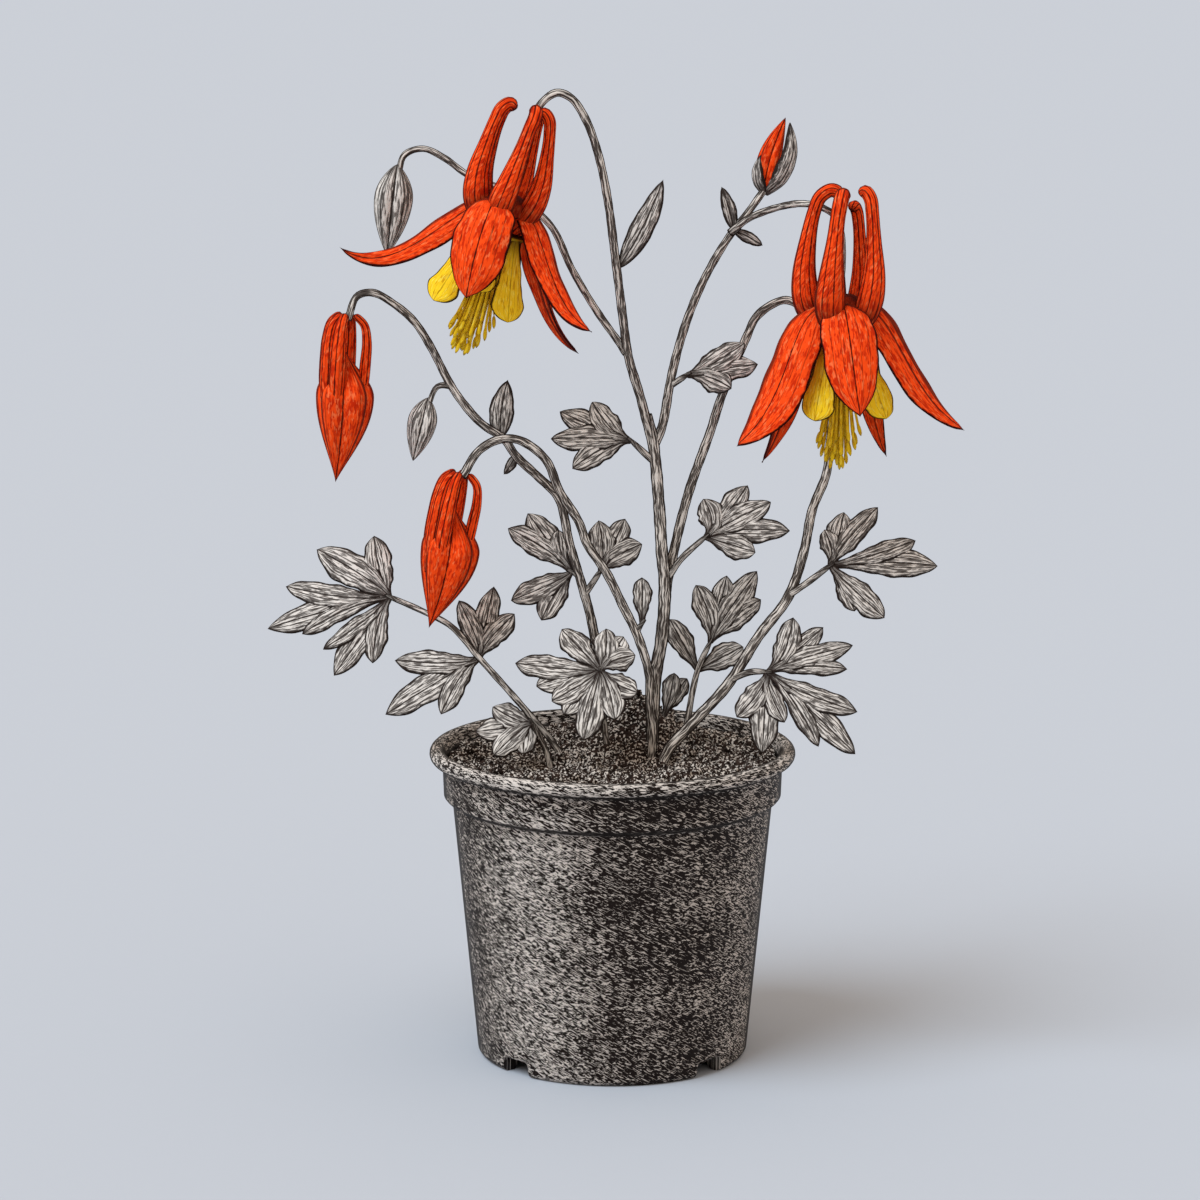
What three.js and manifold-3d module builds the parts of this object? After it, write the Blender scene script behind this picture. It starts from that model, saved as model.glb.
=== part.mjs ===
// A columbine (Aquilegia canadensis) in a round nursery pot. It has four stems, thirteen leaves, two open
// flowers, three red buds and four green buds. Millimetres, +Z up. The origin is the centre of the pot's
// underside, and the plant's front faces -Y. Whatever touches keeps a clearance of GAP.

import * as THREE from 'three';
import { mergeVertices } from 'three/addons/utils/BufferGeometryUtils.js';
import Module from 'manifold-3d';

const wasm = await Module();
wasm.setup();

// ------------------------ driving dimensions

const GAP = 0.3; // clearance between pieces that touch
const BLADE = 0.8; // thickness of a leaf
const PETAL = 0.9; // thickness of a sepal, petal blade or bract
const WELD = 1e-4; // points closer than this are one point
const DEG = Math.PI / 180;

const POT = {
  height: 103,
  wall: 1.4,
  baseRadius: 44.3,
  shoulderRadius: 52.4,
  shoulderZ: 85,
  collarRadius: 55.2,
  collarTopZ: 98,
  collarFlare: 0.4,
  rimRadius: 60,
  rollRadius: 2.5,
  rollFrom: -100,
  rollTo: 140,
  footHeight: 2,
  footWidth: 3,
  padRadius: 12,
  floor: 1.6,
  chamfer: 1.2,
  segments: 36,
};

// Drain notches in the pot's bottom edge, cut through the foot, the wall and the edge of the floor.
const NOTCH = {
  count: 4,
  firstAngle: 45,
  width: 11,
  height: 5.5,
  below: 1,
  cornerRadius: 1.8,
  from: 38.5,
  to: 48,
};

// The soil fills the pot to just below the rim and rises to a mound round the stems. Its lumps are two waves:
// one along X times one along Y, and a weaker one aslant.
const SOIL = { edgeZ: 98.5, moundHeight: 18, mound: [6, 16], moundSpread: 17, lump: 0.9, sides: 36 };
const SOIL_RINGS = [8, 18, 32];
const LUMPS = { alongX: [0.55, 0.9], alongY: [0.47, -0.4], aslant: [0.31, -0.52, 2], aslantShare: 0.6 };

// Stems: the middle of each run from below the soil upwards, and the radius at its foot and at its end.
const TRUNK = {
  route: [[13, 0, 86], [13, 0, 102], [14, 0, 126], [16, 0, 138], [17, 1, 155], [16, 2, 167], [15, 3, 183],
    [13, 4, 203], [11, 3, 211]],
  radius: [2.35, 1.9],
};
const LEFT_FLOWER_STALK = {
  route: [[13, 4, 201], [9, 1, 217], [5, -3, 231], [3.2, -6, 244], [1.2, -9, 260], [-1.8, -13, 283],
    [-4.8, -15, 297], [-8.6, -17, 307.5], [-13, -18, 314], [-17.5, -19, 315.8], [-22, -20, 313],
    [-25.5, -20, 307], [-28.5, -20, 299], [-33.5, -20, 283]],
  radius: [1.6, 1.2],
};
const LEFT_BUD_STALK = {
  route: [[4.6, -3.5, 232], [-5, 0, 245], [-13, 4, 258], [-20, 7, 272], [-33, 10, 282], [-47, 12, 288],
    [-54, 13, 293], [-61, 14, 296], [-67, 14, 294], [-69, 14, 288]],
  radius: [1.25, 1.05],
};
const TOP_STALK = {
  route: [[13, 4, 200], [16, 5, 207], [19, 7, 223], [23, 9, 238], [29, 11, 253], [37, 12, 267],
    [44, 13, 276], [49, 14, 283]],
  radius: [1.6, 1.2],
};
const RIGHT_FLOWER_STALK = {
  route: [[38, 12, 269], [43, 10, 273.5], [49, 7, 276.5], [56, 1, 279], [61, -6, 280], [66, -14, 279.5],
    [70, -18.5, 277], [72, -20, 271], [72, -20, 252]],
  radius: [1.2, 1.05],
};
const BACK_STALK = {
  route: [[17, 1.5, 152], [20, 6, 166], [25, 11, 185], [32, 16, 204], [36, 19, 216], [44, 25, 234],
    [47, 27, 240], [52, 28, 244], [57, 29, 245.5], [62, 29, 243], [64, 29, 237]],
  radius: [1.7, 1.35],
};
const RIGHT_STEM = {
  route: [[11, -14, 88], [18, -10.5, 103], [26, -9, 112], [37, -8, 124], [47.5, -5, 140], [57, -1, 152],
    [62.3, 5, 166], [65.2, 10, 179], [70, 16, 190], [72, 22, 204], [75, 26, 216], [79, 28, 223],
    [83, 29, 224.5], [85.5, 30, 219]],
  radius: [1.95, 1.35],
};
const INNER_LEFT_STEM = {
  route: [[12, -5.5, 90], [13, -7.5, 108], [12, -8, 119], [12, -7, 127], [8.2, -6, 140], [3.4, -6, 150],
    [-2, -6, 161], [-8, -6, 170], [-11, -7, 178], [-17, -9, 188], [-21, -11, 198], [-26, -12, 203],
    [-31, -13, 205.5], [-37, -15, 205.5], [-43, -17, 202], [-48, -18, 194]],
  radius: [1.6, 1.4],
};
const OUTER_LEFT_STEM = {
  route: [[1, 11, 90], [-2, 10, 114], [-4, 8, 126], [-7, 4, 144], [-9.8, 2, 155], [-13.8, 0, 169],
    [-17.6, -2, 185], [-24, -4, 192], [-31, -6, 199], [-35, -8, 205], [-42, -9, 210], [-48, -10, 217],
    [-52, -10, 223], [-58, -11, 235], [-63, -12, 243], [-69, -13, 248.5], [-76, -14, 252.5],
    [-81, -15, 251.5], [-84, -16, 244]],
  radius: [1.75, 1.2],
};
const LOW_BUD_STALK = {
  route: [[-51.5, -10, 222.5], [-56, -10, 222], [-59, -10, 216]],
  radius: [0.95, 0.9],
};

// Bracts: small narrow leaves at the forks, from their foot to their tip.
// Half a bract's or sepal's width is a power of the share run times one of the share left.
const BRACT = { swell: 3.2, rise: 0.75, taper: 0.95, edge: 0.3, cup: 0.25 };
const BRACT_FACING = [0, -1, 0.3];
const MAIN_BRACTS = [
  { foot: [2, -9, 260], tip: [16, -9, 288], width: 7, bow: 2 },
  { foot: [39, 12, 270], tip: [35, 12, 284], width: 4.2, bow: 1 },
  { foot: [39, 12, 270], tip: [48.5, 12, 265], width: 3.4, bow: 1 },
];
const LEFT_BRACTS = [
  { foot: [-36, -8, 205], tip: [-33.5, -8, 224], width: 7.5, bow: -1.5 },
  { foot: [-31, -6, 199.5], tip: [-35, -6, 193], width: 2.8, bow: 0.5 },
];

// Leaves. A leaflet fans out from its joint in a plane that leans back from the vertical. Each lobe is its
// heading (degrees from +X towards +Z), the distance of its tip from the joint, and its width where that isn't
// the leaflet's. The lobes part at the fork, a share of the way along the leaflet.
const LEAVES = {
  leaf_left_basal: {
    lean: 25,
    petioles: [
      [[-14, -7, 92], [-18, -8, 103], [-31, -11, 120], [-43, -12, 134], [-52, -10, 144], [-62, -8, 149],
        [-72, -6, 153]],
    ],
    leaflets: [
      { joint: [-72, -6, 153], fork: 0.22, lobes: [[145, 29.5, 11.5], [105, 21.8, 9.6]] },
      { joint: [-72, -6, 153], lobes: [[172, 34.5, 8.2], [192.5, 41, 8.8], [202, 30.7, 6.2]] },
      { joint: [-72, -6, 153], fork: 0.28, lobes: [[218, 27.3, 5.8], [234.5, 31, 8.8], [256, 22.3, 7.4]] },
      { joint: [-43, -12, 134], fork: 0.25, lobes: [[180, 27.5, 8.4], [210, 35, 9.8], [236, 22, 7.6]] },
      { joint: [-43, -12, 134], fork: 0.25, lobes: [[109.5, 20.8, 7.4], [80, 25, 8.2], [53, 18.8, 8.2]] },
    ],
  },
  leaf_rim: {
    lean: 35,
    petioles: [[[-19, -14, 90], [-21, -14, 102], [-24, -16, 110], [-26, -18, 114]]],
    leaflets: [
      { joint: [-26, -18, 114], fork: 0.25, lobes: [[155, 14], [188, 18.5], [222, 16.5], [256, 11]] },
    ],
  },
  leaf_front: {
    lean: 30,
    petioles: [[[-2, -1, 90], [-2, -2, 103], [-3, -9, 115], [-3.5, -16, 125], [-4, -22, 132]]],
    leaflets: [
      { joint: [-4, -22, 132], lobes: [[173, 27.5], [193, 21]] },
      { joint: [-4, -22, 132], lobes: [[131, 19]] },
      { joint: [-4, -22, 132], lobes: [[83, 14.5], [57, 14], [25, 12.5]] },
      { joint: [-4, -22, 132], lobes: [[213, 18.5], [231, 18.5]] },
      { joint: [-4, -22, 132], lobes: [[257, 23.5]], width: 9.5 },
      { joint: [-4, -22, 132], lobes: [[286, 17], [329, 14]] },
    ],
  },
  leaf_left_stem: {
    lean: 25,
    on: 'outer',
    petioles: [[[-10.6, 1.5, 158.5], [-13.2, 1, 160]]],
    leaflets: [
      { joint: [-13.2, 1, 160], lobes: [[107, 15, 6.5], [125, 25.1, 9.6], [143.5, 26, 8.4]] },
      { joint: [-13.2, 1, 160], fork: 0.28, lobes: [[205, 21.8], [238, 18.7]] },
    ],
  },
  leaf_left_fork: {
    lean: 20,
    on: 'outer',
    petioles: [[[-9.4, 2, 152], [-6.5, 2.5, 156], [-4, 2, 160]]],
    leaflets: [
      { joint: [-4, 2, 160], fork: 0.3, lobes: [[92, 17], [65, 19.5], [34, 16.5]] },
    ],
  },
  leaf_small_left: {
    lean: 15,
    on: 'inner',
    petioles: [[[7.6, -6, 141.5], [9.6, -6.5, 144.4]]],
    leaflets: [{ joint: [9.6, -6.5, 144.4], lobes: [[90, 15]], width: 6.4 }],
  },
  leaf_right_back: {
    lean: 20,
    petioles: [[[23, 6, 92], [24, 6, 103], [25, 7, 111], [28, 8, 126], [32, 9, 135]]],
    leaflets: [
      { joint: [32, 9, 135], fork: 0.3, lobes: [[103, 20], [76, 23.5], [57, 29], [41, 22.5]] },
      { joint: [28, 8, 126], lobes: [[28, 17]], width: 9 },
      { joint: [28, 8, 126], lobes: [[118, 19.5]], width: 8 },
    ],
  },
  leaf_small_right: {
    lean: 15,
    petioles: [[[15, 12, 92], [16, 12, 103], [17, 12, 110]]],
    leaflets: [{ joint: [17, 12, 110], lobes: [[76, 14.5], [58, 14.5]], width: 6.5 }],
  },
  leaf_right_upper: {
    lean: 28,
    on: 'right',
    petioles: [[[57, -1, 152.5], [63.6, -3, 157.5], [70.4, -4, 163]]],
    leaflets: [
      { joint: [70.4, -4, 163], fork: 0.28, lobes: [[98, 12.5, 6.8], [75, 19.4, 8.8], [52.5, 26.4, 7.8]] },
      { joint: [70.4, -4, 163], lobes: [[19, 29.8, 7], [2.5, 35.3, 9.6]] },
      { joint: [70.4, -4, 163], lobes: [[-44.5, 24.4, 9], [-63, 17, 6.8]] },
    ],
  },
  leaf_right_lower: {
    lean: 28,
    on: 'right',
    petioles: [[[38, -8, 126], [44.5, -10, 129], [50, -12, 129.5]]],
    leaflets: [
      {
        joint: [50, -12, 129.5],
        fork: 0.3,
        lobes: [[65, 20.8, 8.4], [40.5, 24.3, 7.4], [19.5, 29.7, 7.6], [4, 26.2, 6.4]],
      },
      { joint: [50, -12, 129.5], fork: 0.34, lobes: [[-23, 31.6, 8], [-42.5, 38.3, 9], [-56, 29.2, 6.4]] },
      { joint: [50, -12, 129.5], fork: 0.3, lobes: [[-72, 17.5, 7], [-94, 26.6, 9.6], [-124, 18, 8.6]] },
    ],
  },
  leaf_mid_right: {
    lean: 25,
    on: 'main',
    petioles: [[[17, 2, 156], [22, 0.5, 164], [30, -2, 172]]],
    leaflets: [
      { joint: [30, -2, 172], fork: 0.3, lobes: [[92, 13], [52.5, 22.8], [30, 24.8], [6, 27.7]] },
      { joint: [30, -2, 172], lobes: [[-17, 17]], width: 8.5 },
    ],
  },
  leaf_main_left: {
    lean: 25,
    on: 'main',
    petioles: [[[13, 4, 196], [6, 1, 203]]],
    leaflets: [
      { joint: [6, 1, 203], fork: 0.3, lobes: [[133, 18.5], [155, 25.5], [177, 26], [205, 21]] },
    ],
  },
  leaf_main_right: {
    lean: 25,
    on: 'main',
    petioles: [[[18.6, 7, 220], [24, 4, 224]]],
    leaflets: [{ joint: [24, 4, 224], fork: 0.3, lobes: [[31, 22], [11, 23.5], [-17, 15]] }],
  },
};
// Stops on a lobe's outline: on its flank, as shares from tip to hollow, and at the edge of an outer lobe.
const OUTLINE = { flank: [0.45, 0.82], edge: 0.86, hollowStops: 60 };
const PETIOLE = { radius: [1.2, 0.95], past: 1.6 };
// A lobe's reach falls as a power of the share of its half angle. The wedge at the joint is a share of a width.
const LEAFLET = { fork: 0.38, width: 8.8, tipPower: 0.33, wedge: 0.36, droop: 0.004, cup: 0.1 };

// Open flowers. Heights along the axis count up towards the stalk. An azimuth is 0 towards the viewer in front
// and grows towards the flower's right. A spur is its azimuth at the mouth and at the knob, then its height,
// how far its knob comes in, and its girth, as shares of SPUR's. A sepal hangs between two spurs. Its middle
// line runs from the receptacle by two handles to its tip, each as [distance from axis, height], while its
// azimuth turns from the first to the second value. A petal blade is its azimuth, the azimuth that it faces, the
// distance of its end from the axis, and its length as a share of bladeLength. The stamens' ends swing to the
// right by the sway.
const LEFT_FLOWER = {
  centre: [-34, -20, 281],
  tilt: 13,
  spurRadius: 11.2,
  spurs: [
    [-16, 40, 0.87, 1, 1],
    [60, 87, 0.86, 1, 0.9],
    [166, 140, 0.83, 1, 0.9],
    [236, 236, 0.86, 1, 0.9],
    [-76, -68, 0.88, 1.05, 1],
  ],
  sepals: [
    {
      turn: [-19, -15],
      roll: 0,
      handles: [[14, 8], [22.5, -14.5]],
      tip: [19.5, -29.5],
      width: 19.2,
      taper: 0.8,
      rise: 1.2,
      swell: 3.9,
    },
    { turn: [60, 62], roll: -22, handles: [[15, 1], [21, -27]], tip: [40, -31], width: 12, taper: 0.8 },
    { turn: [118, 118], roll: 0, handles: [[14, 0], [15, -30]], tip: [38, -43], width: 16, taper: 0.8 },
    { turn: [186, 186], roll: 0, handles: [[15, 2], [20, -20]], tip: [37, -30], width: 18, taper: 0.8 },
    { turn: [-93, -93], roll: 45, handles: [[15, -3], [29, -34]], tip: [48, -25], width: 13.5, taper: 1.15 },
  ],
  blades: [
    [-14, 0, 10, 0.72],
    [42, 22, 13.5, 1],
    [130, 130, 11, 0.85],
    [202, 202, 11, 0.85],
    [-62, -25, 17, 0.95],
  ],
  stamenLength: 50.5,
  sway: -3.5,
  bladeLength: 29,
};
const RIGHT_FLOWER = {
  centre: [72, -20, 249],
  tilt: 0,
  spurRadius: 12.4,
  spurs: [
    [-27, 2, 1, 1, 1.12],
    [47, 72, 1.02, 0.9, 1],
    [143, 150, 0.87, 0.8, 0.9],
    [190, 178, 0.9, 0.9, 0.9],
    [-90, -90, 1.03, 1.75, 1],
  ],
  sepals: [
    {
      turn: [-3, 11],
      roll: 0,
      handles: [[15, 7], [23.5, -18]],
      tip: [25.5, -32],
      width: 18.6,
      taper: 0.95,
      rise: 1.1,
      swell: 4.1,
    },
    { turn: [82, 82], roll: -30, handles: [[17.5, 1], [20, -27]], tip: [39.5, -39], width: 17, taper: 0.8 },
    { turn: [156, 147], roll: 0, handles: [[15, 2], [17, -30]], tip: [31, -52], width: 16, taper: 1 },
    { turn: [-130, -130], roll: 0, handles: [[15, 2], [17, -30]], tip: [31, -53], width: 17, taper: 0.8 },
    {
      turn: [-60, -60],
      roll: 20,
      handles: [[20, 1], [16.5, -28]],
      tip: [38.5, -42],
      width: 19,
      taper: 0.78,
      rise: 1,
      swell: 3.2,
    },
  ],
  blades: [
    [-33, -20, 16, 0.92],
    [58, 28, 16.5, 0.92],
    [126, 126, 12, 0.85],
    [198, 198, 12, 0.85],
    [-100, -100, 10, 0.7],
  ],
  stamenLength: 54,
  sway: -1,
  bladeLength: 31,
};
// Middle line of a spur, as [distance in from the ring of spurs, height], and its radius from mouth to knob.
const SPUR = {
  line: [[6.5, -7], [2, 0], [0.4, 9], [1, 20], [2.1, 29], [3.2, 33.4], [5.2, 35.4], [7.1, 34]],
  radii: [3, 4.2, 4.35, 3.7, 3, 2.4, 2.1, 2.2, 2.15],
};
// A sepal's rise and swell where it doesn't state its own, and how it eases off below its full width.
const SEPAL = { root: [5, 0], swell: 2.2, rise: 0.55, ease: 6, share: 0.52, edge: 0.3, lift: 0.35, cup: 0.3 };
const ROUND_SIDES = 10; // sides of a flower's receptacle and throat
const RECEPTACLE = [[4, 3.5], [9, 1], [9, -2.5], [5.5, -4.5]]; // stops of radius and height
const THROAT = { radius: 9.5, z: -9.6, thickness: 1.4 };
const COLUMN = { radius: 3.4, top: -12.6, end: -30 };
const BLADE_INSIDE = 3.6; // how much of a petal blade's length is hidden in the flower
const PETAL_BLADE = {
  startRadius: 8.6,
  clawWidth: 3,
  width: 11.2,
  fullAt: 0.8,
  roundFrom: 0.77,
  roundOver: 0.235,
  // Shares of the length and of the way out to the end, at the two handles of the middle line.
  handles: [[0.3, 0.1], [0.7, 0.65]],
};
const STAMENS = {
  count: 13,
  top: -12,
  filament: 0.72,
  anther: 1.15,
  antherShare: 0.8,
  spread: 7,
  shortest: 0.86,
  turn: 137.5,
  // Shares of the length and of the spread, halfway down.
  bend: [0.6, 0.35],
};

// Closed flowers: a body with five ridges below five short spurs that close over the stalk.
const CLOSED_FLOWERS = {
  bud_red_upper: { top: [-84, -16, 247], tip: [-88.5, -16, 192], radius: 8.8, bow: 1.1, on: 'outer' },
  bud_red_lower: { top: [-48, -18, 196.5], tip: [-59, -18, 145], radius: 9, bow: 1.8, on: 'inner' },
};
const CLOSED_BODY = { start: 12, widest: 0.36, fallPower: 1.2, risePower: 1.5, ridge: 0.09, sides: 15 };
// A closed spur's line is [distance from axis, depth below the top]. Each has an azimuth and a girth's share.
const CLOSED_SPUR = {
  line: [[5.2, 34], [6.5, 24], [6.8, 16], [6.8, 9.5], [5.6, 4.2], [2.2, 1]],
  radii: [1.7, 2.5, 2.9, 2.9, 2.6, 2.2, 1.8],
  places: [[-13, 0.86], [92, 0.64], [172, 0.85], [240, 0.72], [-46, 0.76]],
};

// Young buds: spindles with five soft ridges, from the stalk to the tip.
const YOUNG_BUDS = {
  bud_green_upper: { top: [-69.3, 14, 291], tip: [-73, 14, 261.5], radius: 5.9, on: 'main' },
  bud_green_lower: { top: [-59, -10, 218.5], tip: [-64, -10, 198], radius: 4.4, on: 'outer' },
  bud_green_back: { top: [64, 29, 239.5], tip: [63.5, 29, 219], radius: 4.4, on: 'main' },
  bud_green_right: { top: [85.7, 30, 221.5], tip: [86.5, 30, 202], radius: 4.2, on: 'right' },
};

// The topmost bud stands upright, half open, between two green sepals.
const TOP_BUD = { top: [48.5, 14, 282], tip: [55.6, 14, 306], radius: 3.6, bow: -1.2 };
const TOP_SEPALS = [
  {
    route: [[49, 14, 281.5], [54.8, 11, 287], [57.8, 10.5, 296], [57, 13, 304.5]],
    facing: [0.55, -0.83, 0],
    width: 6.6,
  },
  {
    route: [[48.5, 14, 281.5], [46.3, 11.5, 286], [46.3, 11, 290.5], [47.6, 12.5, 294]],
    facing: [-0.6, -0.8, 0],
    width: 4.5,
  },
];
const TOP_SEPAL = { from: 0.18, to: 0.97, edge: 0.2, cup: 0.45 };

// Half a bud's girth rises as a power of a sine and falls as a power of a cosine.
const GIRTH = { widest: 0.38, risePower: 0.75, fallPower: 0.9 };
const RIDGES = 5; // sepals of one flower, and so ridges of a bud

// ------------------------ geometry

const vec = ([x, y, z]) => new THREE.Vector3(x, y, z);
const lerp = THREE.MathUtils.lerp;

// A value read off evenly spaced stops, at a share t of the way along them.
function alongStops(stops, t) {
  const place = THREE.MathUtils.clamp(t, 0, 1) * (stops.length - 1);
  const i = Math.min(Math.floor(place), stops.length - 2);
  return lerp(stops[i], stops[i + 1], place - i);
}

// A closed skin over rows of points. The first and the last row are one point each, and the rows between them
// are loops of equal length. Where mirrored(row, column) holds, a cell is split along its other diagonal.
function loft(rows, mirrored = () => false) {
  const points = [];
  const first = rows.map((row) => points.push(...row) - row.length);
  const columns = rows[1].length;
  const index = [];
  for (let k = 0; k + 1 < rows.length; k += 1) {
    const [a, b] = [first[k], first[k + 1]];
    for (let i = 0; i < columns; i += 1) {
      const j = (i + 1) % columns;
      if (k === 0) index.push(a, b + i, b + j);
      else if (k === rows.length - 2) index.push(a + i, b, a + j);
      else if (mirrored(k, i)) index.push(a + i, b + i, a + j, a + j, b + i, b + j);
      else index.push(a + i, b + i, b + j, a + i, b + j, a + j);
    }
  }
  const geometry = new THREE.BufferGeometry().setFromPoints(points);
  geometry.setIndex(index);
  return geometry;
}

// Places along a curve, as shares of its length: one in every step, and one in every turn by bend.
function stations(curve, step, bend, samples = 120) {
  const length = curve.getLength();
  const tangents = Array.from({ length: samples + 1 }, (_, i) => curve.getTangentAt(i / samples));
  const weights = [0];
  for (let i = 1; i <= samples; i += 1) {
    weights.push(weights[i - 1] + length / samples / step + tangents[i - 1].angleTo(tangents[i]) / bend);
  }
  const count = Math.max(1, Math.round(weights[samples]));
  const between = Array.from({ length: count - 1 }, (_, k) => {
    const wanted = (weights[samples] * (k + 1)) / count;
    const i = weights.findIndex((weight) => weight >= wanted);
    return (i - 1 + (wanted - weights[i - 1]) / (weights[i] - weights[i - 1])) / samples;
  });
  return [0, ...between, 1];
}

// A round bar along a curve. Its radius is radiusAt(share of the length). Grow makes it fatter and longer.
function bar(curve, radiusAt, { sides = 6, step = 13, bend = 30 * DEG, grow = 0 } = {}) {
  const places = stations(curve, step, bend);
  const last = places.length - 1;
  let side = new THREE.Vector3(0, 1, 0);
  const rings = places.map((place) => {
    const tangent = curve.getTangentAt(place);
    side = side.clone().addScaledVector(tangent, -side.dot(tangent)).normalize();
    const across = new THREE.Vector3().crossVectors(tangent, side);
    const overrun = place === places[0] ? -grow : place === places[last] ? grow : 0;
    const centre = curve.getPointAt(place).addScaledVector(tangent, overrun);
    const radius = radiusAt(place) + grow;
    const ring = Array.from({ length: sides }, (_, i) => {
      const angle = (2 * Math.PI * i) / sides;
      return centre.clone()
        .addScaledVector(side, radius * Math.cos(angle))
        .addScaledVector(across, radius * Math.sin(angle));
    });
    return { centre, ring };
  });
  return loft([[rings[0].centre], ...rings.map(({ ring }) => ring), [rings[last].centre]]);
}

const smoothCurve = (route) => new THREE.CatmullRomCurve3(route.map(vec), false, 'centripetal');

function stalk({ route, radius }, grow = 0, sides = 5) {
  return solidOf(bar(smoothCurve(route), (t) => lerp(radius[0], radius[1], t), { sides, grow }));
}

// Shares of the length at which a strap's and a spindle's first and last row stand.
const STRAP = { firstRow: 0.02, lastRow: 0.95 };
const SPINDLE = { firstRow: 0.03, lastRow: 0.95 };

// A strap-like blade along a curve. Its outer face looks along facing, and its edges curl away from there.
function strap(curve, halfWidthAt, facing, { cup = 0.2, rows = 6, columns = 3, grow = 0 } = {}) {
  const half = PETAL / 2 + grow;
  const loops = [];
  for (let k = 0; k < rows; k += 1) {
    const t = lerp(STRAP.firstRow, STRAP.lastRow, k / (rows - 1));
    const centre = curve.getPoint(t);
    const tangent = curve.getTangent(t);
    const side = new THREE.Vector3().crossVectors(tangent, facing).normalize();
    const normal = new THREE.Vector3().crossVectors(side, tangent);
    const width = halfWidthAt(t) + grow;
    const edge = (v, lift) => centre.clone()
      .addScaledVector(side, v * width)
      .addScaledVector(normal, lift - cup * width * v * v);
    const across = Array.from({ length: columns }, (_, i) => (2 * i) / (columns - 1) - 1);
    loops.push([...across.map((v) => edge(v, half)), ...across.reverse().map((v) => edge(v, -half))]);
  }
  const start = curve.getPoint(0).addScaledVector(curve.getTangent(0), -grow);
  const end = curve.getPoint(1).addScaledVector(curve.getTangent(1), grow);
  return loft([[start], ...loops, [end]], (_, i) => i >= columns);
}

// ------------------------ joining and cutting

// A solid from a closed geometry, turned right side out.
function solidOf(geometry) {
  geometry.deleteAttribute('normal');
  geometry.deleteAttribute('uv');
  const merged = mergeVertices(geometry, WELD);
  const corners = Array.from(merged.index.array);
  const triangles = [];
  for (let i = 0; i < corners.length; i += 3) {
    const [a, b, c] = corners.slice(i, i + 3);
    if (a !== b && b !== c && c !== a) triangles.push([a, b, c]);
  }
  const build = (list) => new wasm.Manifold(new wasm.Mesh({
    numProp: 3,
    vertProperties: Float32Array.from(merged.getAttribute('position').array),
    triVerts: Uint32Array.from(list.flat()),
  }));
  const solid = build(triangles);
  return solid.volume() > 0 ? solid : build(triangles.map(([a, b, c]) => [a, c, b]));
}

const fuse = (solids) => solids.reduce((whole, piece) => whole.add(piece));

// The main body of a solid: a sealed hollow inside it is filled, and a loose scrap is dropped.
function mainBody(solid) {
  const bodies = solid.decompose();
  return bodies.reduce((best, body) => (body.volume() > best.volume() ? body : best));
}

function meshOf(name, solid, material) {
  const { vertProperties, triVerts } = mainBody(solid).getMesh();
  const geometry = new THREE.BufferGeometry();
  geometry.setAttribute('position', new THREE.BufferAttribute(Float32Array.from(vertProperties), 3));
  geometry.setIndex(Array.from(triVerts));
  geometry.computeVertexNormals();
  const mesh = new THREE.Mesh(geometry, material);
  mesh.name = name;
  return mesh;
}

// ------------------------ pot and soil

const FLOOR_TOP = POT.footHeight + POT.floor;

function outerRadiusAt(z) {
  return lerp(POT.baseRadius, POT.shoulderRadius, Math.min(z / POT.shoulderZ, 1));
}

// The inside of the wall, from the floor to the top of the collar.
const INNER_WALL = [
  [outerRadiusAt(FLOOR_TOP) - POT.wall, FLOOR_TOP],
  [POT.shoulderRadius - POT.wall, POT.shoulderZ - POT.wall],
  [POT.collarRadius - POT.wall, POT.shoulderZ + POT.wall / 2],
  [POT.collarRadius - POT.wall + POT.collarFlare, POT.collarTopZ],
];

function rimRoll(stops = 5) {
  const centre = [POT.rimRadius - POT.rollRadius, POT.height - POT.rollRadius];
  return Array.from({ length: stops }, (_, i) => {
    const angle = lerp(POT.rollFrom, POT.rollTo, i / (stops - 1)) * DEG;
    return [centre[0] + POT.rollRadius * Math.cos(angle), centre[1] + POT.rollRadius * Math.sin(angle)];
  });
}

function potSolid() {
  const footInside = POT.baseRadius - POT.chamfer - POT.footWidth;
  const outside = [
    [0, 0],
    [POT.padRadius, 0],
    [POT.padRadius + POT.footHeight / 2, POT.footHeight],
    [footInside - POT.footHeight / 2, POT.footHeight],
    [footInside, 0],
    [POT.baseRadius - POT.chamfer, 0],
    [outerRadiusAt(POT.chamfer), POT.chamfer],
    [POT.shoulderRadius, POT.shoulderZ],
    [POT.collarRadius, POT.shoulderZ + POT.wall],
    [POT.collarRadius + POT.collarFlare, POT.collarTopZ - POT.collarFlare],
  ];
  const profile = [...outside, ...rimRoll(), ...[...INNER_WALL].reverse(), [0, FLOOR_TOP]];
  const turned = new THREE.LatheGeometry(profile.map(([r, z]) => new THREE.Vector2(r, z)), POT.segments);
  turned.rotateX(90 * DEG);
  let pot = solidOf(turned);
  for (let k = 0; k < NOTCH.count; k += 1) {
    pot = pot.subtract(solidOf(notchCutter(NOTCH.firstAngle + (k * 360) / NOTCH.count)));
  }
  return pot;
}

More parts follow.
